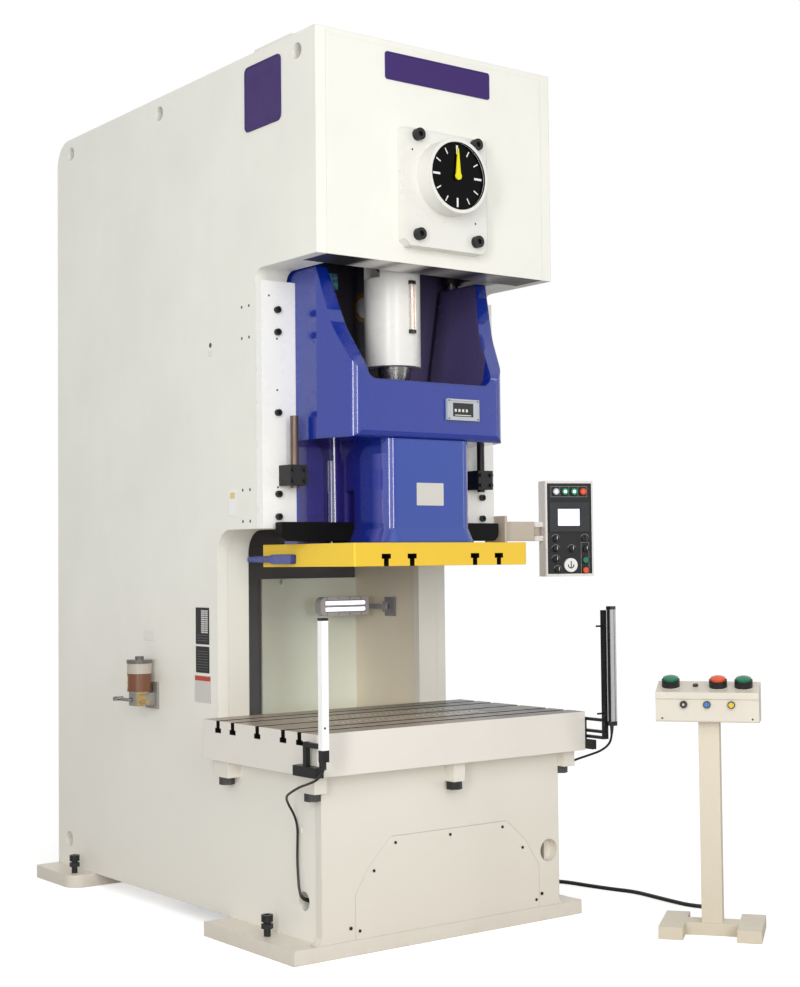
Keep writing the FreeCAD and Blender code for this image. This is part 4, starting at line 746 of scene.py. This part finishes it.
# the frame's cream in the painted shade near the floor
LOW_SHADE_COLOR = srgb(226, 218, 205)
mats = {
    # the frame's cream carries painted shade towards the floor, then dust at the foot
    "cream_paint": enamel("frame_enamel", cream, 0.36, zones=((low_shade, LOW_SHADE_COLOR), (foot_dust, DUST))),
    "white_paint": enamel("white_enamel", white, 0.30),
    # the crown's walls carry painted shade and two painted highlights, and a band of painted shade surrounds
    # the throat's panel
    "throat_paint": enamel("throat_enamel", srgb(240, 230, 212), 0.42, zones=(
        (crown_dark, srgb(44, 40, 48)), (crown_blue_shade, srgb(88, 80, 116)),
        (crown_cyan_gleams, srgb(120, 210, 226)), (throat_dark_and_shade, srgb(96, 96, 98)))),
    "panel_paint": enamel("panel_enamel", srgb(248, 255, 240), 0.45),
    # the stand's beige carries painted shade towards the floor
    "beige_paint": enamel("stand_enamel", beige, 0.4, zones=((low_shade, srgb(214, 203, 182)),)),
    # the slide's blue carries a painted sheen and a painted highlight on its column, and painted shade in its
    # recess and pocket
    "blue_paint": enamel("blue_enamel", blue, 0.24, 0.08, 0.4, coat=1.0, spec=0.1, edge=0.024, zones=(
        (column_front_sheen, srgb(12, 64, 162)), (column_gleam, srgb(96, 100, 190)),
        (slide_recess, srgb(52, 34, 104)), (slide_inside, srgb(80, 70, 114)))),
    # the plate's left edge is painted lighter as light, and its T-slots dark as shade
    "yellow_paint": enamel("yellow_enamel", yellow, 0.40, 0.04, 0.2, spec=0.25, zones=(
        (plate_left_painted_light, srgb(255, 215, 68)), (plate_slots, srgb(24, 21, 18)))),
    "black_oxide": metal("black_oxide", srgb(30, 30, 32), 0.42, (1, 1, 1), 260.0, 0.2, 0.30,
                         ((clip_white, srgb(238, 236, 228)), (jack_grey, srgb(66, 64, 62)))),
    "machined_steel": metal("ground_steel", srgb(176, 176, 172), 0.24, (1, 1, 0.05), 300.0),
    # the bolster's top carries painted shade towards its right-hand end, painted highlights round the pin
    # holes, and pin holes and T-slots painted dark as shade
    "machined_top": enamel("bolster_enamel", srgb(236, 231, 222), 0.34, 0.04, spec=0.22, edge=0.002, zones=(
        (bolster_top, srgb(168, 154, 141)), (bolster_far_shade, srgb(66, 66, 58)),
        (bolster_rim_highlights, srgb(250, 246, 238)), (bolster_pins, srgb(60, 52, 46)),
        (bolster_slots, srgb(30, 27, 25)))),
    "bronze": metal("bush_bronze", srgb(124, 94, 56), 0.40),
    "forged_steel": metal("forged_steel", srgb(150, 150, 150), 0.34, (1, 0.05, 1), 240.0),
    "cast_gear": metal("cast_iron", srgb(86, 86, 90), 0.48, (1, 1, 1), 60.0, 0.3, 0.7),
    "motor_paint": enamel("motor_enamel", srgb(96, 112, 128), 0.4),
    "belt_rubber": plastic("belt_rubber", srgb(26, 26, 26), 0.6, 0.0),
    "gauge_metal": metal("gauge_metal", srgb(214, 210, 204), 0.26, (1, 1, 0.1), 200.0, 0.1, 0.6,
                         ((gauge_ends, srgb(36, 36, 38)), (gauge_tube, srgb(250, 234, 222)))),
    "grey_metal": enamel("indicator_enamel", srgb(188, 192, 198), 0.35, 0.04, 0.3, edge=0.002, zones=(
        (indicator_window, srgb(18, 18, 20)), (indicator_marks, srgb(220, 222, 214)),
        (indicator_screws, srgb(60, 60, 62)))),
    "pointer_yellow": enamel("pointer_enamel", srgb(236, 226, 30), 0.35, spec=0.2, edge=0.001),
    "green_plastic": plastic("green_cap", srgb(8, 120, 84)),
    "red_plastic": plastic("orange_cap", srgb(232, 84, 36)),
    "black_plastic": plastic("black_cap", srgb(24, 24, 26)),
    "curtain_metal": enamel("curtain_enamel", srgb(186, 188, 192), 0.3, 0.03, 0.1, edge=0.002, zones=(
        (bar_white, srgb(254, 254, 254)), (bar_caps, srgb(20, 20, 22)), (bar_dot, srgb(30, 30, 32)),
        (bar_lens, srgb(26, 26, 30)))),
    "cable_black": plastic("cable_sheath", srgb(18, 18, 18), 0.42, 0.1),
    "oil_glass": plastic("oil_jar", srgb(150, 92, 40), 0.15, 0.8),
    "lamp_metal": enamel("lamp_enamel", srgb(206, 200, 204), 0.36, 0.03, 0.2, edge=0.002, zones=(
        (lamp_screws, srgb(110, 108, 112)), (lamp_recess, srgb(150, 146, 152)),
        (lamp_knuckle, srgb(142, 140, 144)), (lamp_tubes, srgb(250, 250, 255))),
        glow=(lamp_tubes, (0.94, 0.94, 1.0), 1.1)),
}
slots = {s["node"]: s["material_slot"] for s in frame["record"]["subparts"]}


def dress(node, material):
    """The CAD node takes the material in every slot it has."""
    data = frame["nodes"][node].data
    if not data.materials:
        data.materials.append(material)
    for i in range(len(data.materials)):
        data.materials[i] = material


for name in frame["nodes"]:
    dress(name, mats[slots[name]])

# pieces that differ from the rest of their material
# painted light: the left side plate is a lighter copy of the frame's cream, with lighter painted shade near
# the floor
dress("side_plate_left", enamel("side_enamel", tint(cream, 1.03), 0.36, zones=(
    (low_shade, srgb(240, 236, 226)), (foot_dust, DUST), (side_holes, srgb(40, 38, 34)))))
# painted light: the gibs are a little lighter than the white paint, to lift the shade of their recess
dress("slide_gibs", enamel("gib_enamel", srgb(253, 252, 247), 0.3, zones=((gib_holes, hole_shade),)))
# the head's inside and underside are painted dark as shade, and the underside carries painted reflections
dress("head_box", enamel("head_enamel", cream, 0.34, zones=(
    (head_inside_shade, shade_black), (head_underside_shade, srgb(46, 44, 46)), (underside_reflections, srgb(252, 248, 240)))))
dress("dial_cover_plate", enamel("cover_enamel", srgb(234, 233, 226), 0.3, grain=0.1, zones=(
    (cover_holes, hole_shade),), edge=0.006))
dress("dial_housing", enamel("dial_enamel", srgb(236, 235, 229), 0.34, 0.03, 0.2, spec=0.08, zones=(
    (dial_black, srgb(3, 3, 4)), (dial_ticks, srgb(240, 240, 238)))))
dress("knockout_bar", enamel("knockout_black", srgb(9, 9, 10), 0.45, 0.1, 0.2, spec=0.12))
dress("knockout_rod_left", metal("rod_brown", srgb(108, 92, 82), 0.34, (1, 1, 0.05), 240.0, 0.15, 0.7))
dress("knockout_rod_right", metal("rod_black", srgb(40, 38, 38), 0.36, (1, 1, 0.05), 240.0, 0.15, 0.5))
dress("balance_rods", mats["machined_steel"])
# painted shade: the arm's cream is darker and browner, as in shade
dress("control_arm", enamel("arm_enamel", srgb(197, 184, 168), 0.4))
dress("control_box", enamel("box_enamel", srgb(238, 233, 229), 0.38, 0.05, 0.3, zones=(
    (box_face, srgb(14, 15, 17)), (box_lines, srgb(150, 152, 152)), (box_bezel, srgb(38, 42, 46)),
    (box_screen, srgb(232, 234, 248)), (box_lamp(0), srgb(196, 198, 200)), (box_lamp(1), GREEN),
    (box_lamp(2), GREEN), (box_lamp(3), ORANGE), (box_lamp_core(0), srgb(250, 250, 250)),
    (box_lamp_core(1), PALE_GREEN), (box_lamp_core(2), PALE_GREEN), (box_lamp_core(3), srgb(240, 110, 64)),
    (box_disc, srgb(240, 240, 238)), (box_disc_slot, srgb(24, 24, 24)),
    (selector_marks, srgb(226, 226, 226))), spec=0.45, edge=0.002, glow=(box_glow, (0.90, 0.92, 1.0), 0.55)))
dress("stand_box", enamel("stand_box_enamel", srgb(228, 220, 205), 0.36, 0.04, edge=0.003, zones=(
    (stand_holes, srgb(40, 36, 32)), (stand_collars, srgb(20, 20, 21)),
    (stand_knob(0, 0.0155), srgb(34, 32, 30)), (stand_knob(1, 0.0155), srgb(40, 44, 50)),
    (stand_knob(2, 0.0155), srgb(46, 44, 38)), (stand_knob(0, 0.0050), srgb(214, 208, 196)),
    (stand_knob(1, 0.0110), srgb(70, 132, 196)), (stand_knob(2, 0.0110), srgb(240, 208, 60)))))
dress("lubricator", enamel("lubricator_finish", srgb(150, 146, 138), 0.3, 0.08, 0.3, coat=0.3, zones=(
    (brass_zone, srgb(176, 146, 88)), (jar_zone, srgb(112, 66, 34)), (clear_zone, srgb(186, 178, 166)),
    (cap_zone, srgb(96, 92, 86)), (label_zone, srgb(236, 196, 40))), spec=0.6, edge=0.002))


# ---------------------------------------------------------------- mesh helpers
# a plate's width and height directions; it faces out along their cross product
FRONT = (Vector((1, 0, 0)), Vector((0, 0, 1)))
LEFT = (Vector((0, -1, 0)), Vector((0, 0, 1)))
PLATE_SINK = -0.0005   # a plate's back lies this far inside the wall it is on
MIN_CORNER = 0.0004
SLEEVE_SIDES = 20
CABLE_SKIN = 0.0006    # a sleeve's thin end stands this far off the cable


def finish_mesh(name, bm, material, body, smooth=False):
    """Turns the mesh into a piece of the scene that rides on body."""
    bmesh.ops.recalc_face_normals(bm, faces=bm.faces)
    mesh = bpy.data.meshes.new(name)
    bm.to_mesh(mesh)
    bm.free()
    mesh.materials.append(material)
    if smooth:
        mesh.shade_smooth()
    obj = bpy.data.objects.new(name, mesh)
    scene.collection.objects.link(obj)
    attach(obj, body)
    return obj


def rounded(w, h, r, n=6):
    """The outline of a w by h rectangle with corners of radius r in n steps each."""
    pts = []
    for cx, cy, start in ((1, 1, 0), (-1, 1, 90), (-1, -1, 180), (1, -1, 270)):
        for i in range(n + 1):
            a = math.radians(start + 90.0 * i / n)
            pts.append((cx * (w / 2 - r) + r * math.cos(a), cy * (h / 2 - r) + r * math.sin(a)))
    return pts


def skin(bm, loops):
    """Joins loops of vertices into one closed skin, capped at both ends."""
    for a, b in zip(loops, loops[1:]):
        for i in range(len(a)):
            j = (i + 1) % len(a)
            bm.faces.new((a[i], a[j], b[j], b[i]))
    bm.faces.new(loops[0][::-1])
    bm.faces.new(loops[-1])


def loft(bm, rings, at, axes):
    """A closed skin over rings of (u, v, out) points."""
    u, v = axes
    w = u.cross(v)
    skin(bm, [[bm.verts.new(Vector(at) + u * p[0] + v * p[1] + w * p[2]) for p in ring] for ring in rings])


def plate(name, at, axes, w, h, thick, corner, edge, material, body, rim=0.0, sink=0.0):
    """A thin plate with rounded corners and a softened edge; rim and sink leave a raised border."""
    bm = bmesh.new()
    steps = [(0.0, PLATE_SINK), (0.0, thick - edge), (edge * 0.3, thick - edge * 0.3), (edge, thick)]
    if rim:
        steps += [(rim, thick), (rim + sink, thick - sink)]
    rings = []
    for inset, out in steps:
        r = max(corner - inset, MIN_CORNER)
        rings.append([(a, b, out) for a, b in rounded(w - 2 * inset, h - 2 * inset, r)])
    loft(bm, rings, at, axes)
    return finish_mesh(name, bm, material, body)


# ---------------------------------------------------------------- cables and their ends
def nurbs_curve(name, points, steps):
    """A curve that starts and ends on its end points and is drawn towards the ones between."""
    curve = bpy.data.curves.new(name, "CURVE")
    curve.dimensions = "3D"
    spline = curve.splines.new("NURBS")
    spline.points.add(len(points) - 1)
    for p, co in zip(spline.points, points):
        p.co = (co[0], co[1], co[2], 1.0)
    spline.order_u = 3  # set after the points, or it does not hold
    spline.use_endpoint_u = True
    spline.resolution_u = steps
    return curve


def sleeve(name, way, reach, r0, r1, material, body):
    """A tapered sleeve that follows the first part of a cable's own curve."""
    guide = bpy.data.objects.new(name + "_way", nurbs_curve(name + "_way", way, 60))
    pts = [v.co.copy() for v in bpy.data.meshes.new_from_object(guide).vertices]
    bpy.data.objects.remove(guide)
    bm = bmesh.new()
    rings = []
    gone = 0.0
    side = None
    for i, p in enumerate(pts):
        if i:
            gone += (p - pts[i - 1]).length
        ahead = (pts[min(i + 1, len(pts) - 1)] - pts[max(i - 1, 0)]).normalized()
        if side is None:
            side = ahead.orthogonal().normalized()
        side = (side - ahead * side.dot(ahead)).normalized()
        other = ahead.cross(side)
        r = r0 + (r1 - r0) * min(gone / reach, 1.0)
        ring = []
        for k in range(SLEEVE_SIDES):
            a = math.tau * k / SLEEVE_SIDES
            ring.append(bm.verts.new(p + (side * math.cos(a) + other * math.sin(a)) * r))
        rings.append(ring)
        if gone >= reach:
            break
    skin(bm, rings)
    return finish_mesh(name, bm, material, body, True)


def cord_piece(name, points, radius, material):
    """A round cable along the curve, closed at both ends."""
    curve = nurbs_curve(name, points, 10)
    curve.bevel_depth = radius
    curve.bevel_resolution = 4
    curve.use_fill_caps = True
    curve.materials.append(material)
    obj = bpy.data.objects.new(name, curve)
    scene.collection.objects.link(obj)
    return obj


left_route = [
    (-0.749, -0.210, 0.798), (-0.749, -0.210, 0.762), (-0.754, -0.172, 0.728), (-0.755, -0.115, 0.708),
    (-0.748, -0.048, 0.690), (-0.738, 0.028, 0.662), (-0.716, 0.102, 0.634), (-0.682, 0.142, 0.600),
    (-0.650, 0.143, 0.552), (-0.631, 0.149, 0.500), (-0.6297, 0.154, 0.436), (-0.630, 0.156, 0.372),
    (-0.632, 0.148, 0.310), (-0.637, 0.134, 0.256), (-0.626, 0.124, 0.220), (-0.596, 0.124, 0.214)]
right_route = [
    (0.745, -0.210, 0.831), (0.745, -0.210, 0.791), (0.755, -0.184, 0.750), (0.758, -0.128, 0.716),
    (0.753, -0.058, 0.692), (0.740, 0.014, 0.667), (0.722, 0.080, 0.638), (0.700, 0.138, 0.604),
    (0.664, 0.176, 0.572), (0.620, 0.176, 0.572)]
stand_route = [
    (0.650, 0.830, 0.180), (0.712, 0.830, 0.180), (0.795, 0.815, 0.128), (0.885, 0.772, 0.050),
    (0.975, 0.712, 0.014), (1.065, 0.632, 0.009), (1.138, 0.535, 0.009), (1.162, 0.385, 0.009),
    (1.192, 0.248, 0.009), (1.226, 0.150, 0.009), (1.216, 0.020, 0.009), (1.205, -0.105, 0.009),
    (1.200, -0.215, 0.009), (1.238, -0.300, 0.009), (1.222, -0.373, 0.012)]
# the last points rise to the stand from behind: how far behind its middle, and how high
stand_x, stand_y = STAND[0]
stand_turn = math.radians(STAND[1])
for back, height in ((0.330, 0.030), (0.230, 0.076), (0.145, 0.104), (0.062, 0.104)):
    stand_route.append((stand_x - back * math.sin(stand_turn), stand_y + back * math.cos(stand_turn), height))

# name, route, radius, length, the CAD piece it stands in for, then length and radius of each end's sleeve
cables = (
    ("left_cable", left_route, 0.005, 0.865, "curtain_cable_left", (0.036, 0.0085), (0.056, 0.0090)),
    ("right_cable", right_route, 0.005, 0.550, "curtain_cable_right", (0.036, 0.0085), (0.040, 0.0090)),
    ("stand_lead", stand_route, 0.009, 1.915, "stand_cable", (0.052, 0.0145), (0.052, 0.0145)))
for name, route, radius, length, node, near_end, far_end in cables:
    piece = cord_piece(name, route, radius, mats["cable_black"])
    ends = [sleeve(name + part, way, end[0], end[1], radius + CABLE_SKIN, mats["black_plastic"], "frame")
            for part, way, end in (("_sleeve", route, near_end), ("_gland", route[::-1], far_end))]
    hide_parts(node)
    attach(piece, "frame")


# ---------------------------------------------------------------- plaques and bare plates
DATA_Y = 0.9005       # middle of the two data plates, front to back
FIELD_ROW, PRINT_ROW = 0.0092, 0.0115


def rows_of(t, pitch, share):
    """Level stripes: one every pitch, as thick as share of it."""
    return t.less(t.math("FRACT", t.math("DIVIDE", t.axis("Z"), pitch)), share)


def table_field(t):
    """A pale field of plain rows, without a single character in it."""
    gap = t.more(t.away(t.axis("Y"), 0.878), 0.0012)
    return t.both(t.between("Y", 0.8545, 0.9110), t.between("Z", 1.2400, 1.3430),
                  rows_of(t, FIELD_ROW, 0.72), gap)


def table_rows(t):
    """Plain faint rows where the photographed plate carries print."""
    heights = t.either(t.between("Z", 1.0820, 1.1720), t.between("Z", 1.2050, 1.2330))
    return t.both(heights, t.near("Y", DATA_Y, 0.044), rows_of(t, PRINT_ROW, 0.22))


def label_patch(t):
    """A plain pale yellow patch near the label's top."""
    return t.both(t.near("Y", 0.645, 0.019), t.between("Z", 1.815, 1.841))


purple_enamel = enamel("plaque_enamel", purple, 0.42, 0.06, 0.05, spec=0.15, edge=0.0)
dark_plate = enamel("etched_plate", srgb(34, 34, 37), 0.42, 0.05, 0.05, spec=0.3, edge=0.0, zones=(
    (table_rows, srgb(96, 96, 98)), (table_field, srgb(206, 205, 200))))
silver_plate = enamel("plain_plate", srgb(212, 209, 202), 0.4, 0.03, 0.05, edge=0.0)
red_field = enamel("red_field", srgb(196, 62, 40), 0.4)
sticker = enamel("white_sticker", srgb(240, 238, 230), 0.5)
tall_label = enamel("tall_label", srgb(250, 249, 246), 0.5, zones=((label_patch, srgb(226, 210, 140)),))

SIDE_X = -0.620       # the left side plate's outer face
HEADER_X = -0.622     # the header lies on the notice plate
# name, place, width, height, thickness, corner, edge, material, then the rim and sink of a raised border
side_plates = (
    ("side_plaque", (SIDE_X, 0.386, 3.4825), 0.278, 0.275, 0.005, 0.026, 0.0015, purple_enamel,
     0.007, 0.0012),
    ("data_plate_upper", (SIDE_X, DATA_Y, 1.2725), 0.113, 0.159, 0.002, 0.003, 0.0006, dark_plate,
     0.003, 0.0004),
    ("data_plate_lower", (SIDE_X, DATA_Y, 1.127), 0.113, 0.114, 0.002, 0.003, 0.0006, dark_plate,
     0.003, 0.0004),
    ("notice_plate", (SIDE_X, 0.899, 1.0005), 0.140, 0.117, 0.002, 0.003, 0.0006, silver_plate,
     0.003, 0.0004),
    ("notice_header", (HEADER_X, 0.899, 1.046), 0.130, 0.020, 0.0006, 0.001, 0.0002, red_field),
    ("side_sticker", (SIDE_X, 1.387, 1.217), 0.094, 0.046, 0.0008, 0.003, 0.0003, sticker),
    ("tall_sticker", (SIDE_X, 0.645, 1.800), 0.066, 0.118, 0.0008, 0.002, 0.0003, tall_label),
    ("small_sticker", (SIDE_X, 0.822, 2.448), 0.040, 0.022, 0.0008, 0.002, 0.0003, sticker))

plate("front_plaque", (0.0, 0.0, 3.5685), FRONT, 0.554, 0.115, 0.005, 0.012, 0.0015, purple_enamel,
      "frame", 0.006, 0.0012)
for name, at, w, h, thick, corner, edge, material, *border in side_plates:
    plate(name, at, LEFT, w, h, thick, corner, edge, material, "frame", *border)
plate("column_plate", (-0.007, 0.075, 1.822), FRONT, 0.142, 0.094, 0.0012, 0.004, 0.0004, silver_plate,
      "slide", 0.004, 0.0003)


# ---------------------------------------------------------------- stage, lights and world
FLOOR_HALF = 60.0
FLOOR_COLOR = (0.62, 0.61, 0.59, 1.0)   # the floor as it throws light back at the press
SEEN_COLOR = (0.86, 0.86, 0.86, 1.0)    # the floor as the camera sees it
SEEN_GLOW = 0.52
WORLD_SEEN, WORLD_LIGHT = 1.0, 0.54     # the white studio: as it is seen and mirrored, and as it lights


def floor_stage():
    """A plain pale floor that runs out of sight; it keeps the shadows the press throws on it."""
    mesh = bpy.data.meshes.new("floor")
    bm = bmesh.new()
    for x, y in ((-1, -1), (1, -1), (1, 1), (-1, 1)):
        bm.verts.new((x * FLOOR_HALF, y * FLOOR_HALF, 0.0))
    bm.faces.new(bm.verts)
    bm.to_mesh(mesh)
    bm.free()
    mat = bpy.data.materials.new("floor_white")
    mat.use_nodes = True
    nt = mat.node_tree
    bsdf = nt.nodes["Principled BSDF"]
    bsdf.inputs["Base Color"].default_value = FLOOR_COLOR
    bsdf.inputs["Roughness"].default_value = 0.9
    bsdf.inputs["Specular IOR Level"].default_value = 0.1
    seen_floor = nt.nodes.new("ShaderNodeBsdfDiffuse")
    seen_floor.inputs["Color"].default_value = SEEN_COLOR
    glow_floor = nt.nodes.new("ShaderNodeEmission")
    glow_floor.inputs["Strength"].default_value = SEEN_GLOW
    both = nt.nodes.new("ShaderNodeAddShader")
    nt.links.new(seen_floor.outputs[0], both.inputs[0])
    nt.links.new(glow_floor.outputs[0], both.inputs[1])
    ray = nt.nodes.new("ShaderNodeLightPath")
    pick = nt.nodes.new("ShaderNodeMixShader")
    nt.links.new(ray.outputs["Is Camera Ray"], pick.inputs[0])
    nt.links.new(bsdf.outputs[0], pick.inputs[1])
    nt.links.new(both.outputs[0], pick.inputs[2])
    nt.links.new(pick.outputs[0], nt.nodes["Material Output"].inputs["Surface"])
    mesh.materials.append(mat)
    obj = bpy.data.objects.new("floor", mesh)
    scene.collection.objects.link(obj)


def studio_world():
    """White all round: seen and mirrored at full strength, but lighting the press more weakly."""
    world = bpy.data.worlds.new("studio")
    scene.world = world
    world.use_nodes = True
    nt = world.node_tree
    ray = nt.nodes.new("ShaderNodeLightPath")
    seen = ray.outputs["Is Camera Ray"]
    for kind in ("Is Glossy Ray", "Is Transmission Ray"):
        either = nt.nodes.new("ShaderNodeMath")
        either.operation = "MAXIMUM"
        nt.links.new(seen, either.inputs[0])
        nt.links.new(ray.outputs[kind], either.inputs[1])
        seen = either.outputs[0]
    level = nt.nodes.new("ShaderNodeMapRange")
    level.inputs["To Min"].default_value = WORLD_LIGHT
    level.inputs["To Max"].default_value = WORLD_SEEN
    nt.links.new(seen, level.inputs["Value"])
    background = nt.nodes["Background"]
    background.inputs["Color"].default_value = (1.0, 1.0, 1.0, 1.0)
    nt.links.new(level.outputs["Result"], background.inputs["Strength"])


def sun(name, toward, strength, angle):
    """Far light that shines the way of toward; angle is how wide its source is, in degrees."""
    data = bpy.data.lights.new(name, "SUN")
    data.energy = strength
    data.angle = math.radians(angle)
    obj = bpy.data.objects.new(name, data)
    obj.rotation_euler = Vector(toward).to_track_quat("-Z", "Y").to_euler()
    scene.collection.objects.link(obj)


def panel(name, azimuth, distance, height, w, h, radiance, aim=1.8):
    """A soft box, azimuth degrees to the left of the press's front and turned to the height aim."""
    a = math.radians(azimuth)
    at = Vector((-math.sin(a) * distance, -math.cos(a) * distance, height))
    data = bpy.data.lights.new(name, "AREA")
    data.shape = "RECTANGLE"
    data.size = w
    data.size_y = h
    data.energy = radiance * math.pi * w * h
    obj = bpy.data.objects.new(name, data)
    obj.location = at
    obj.rotation_euler = (Vector((0.0, 0.0, aim)) - at).to_track_quat("-Z", "Y").to_euler()
    obj.visible_camera = False
    scene.collection.objects.link(obj)


STRIP = (7.5, 2.9, 1.15, 4.2)  # a tall soft box: distance, height above the floor, width and height

floor_stage()
studio_world()
sun("key", (0.30, 0.90, -0.80), 0.12, 40.0)
sun("fill", (0.605, 0.797, -0.04), 0.44, 45.0)
panel("strip_front", 18.0, *STRIP, radiance=8.0)
panel("strip_left", 56.0, *STRIP, radiance=10.4)
panel("top_box", 30.0, 4.2, 4.6, 2.0, 1.2, 2.4, 3.3)
panel("strip_right", -48.0, *STRIP, radiance=2.2)
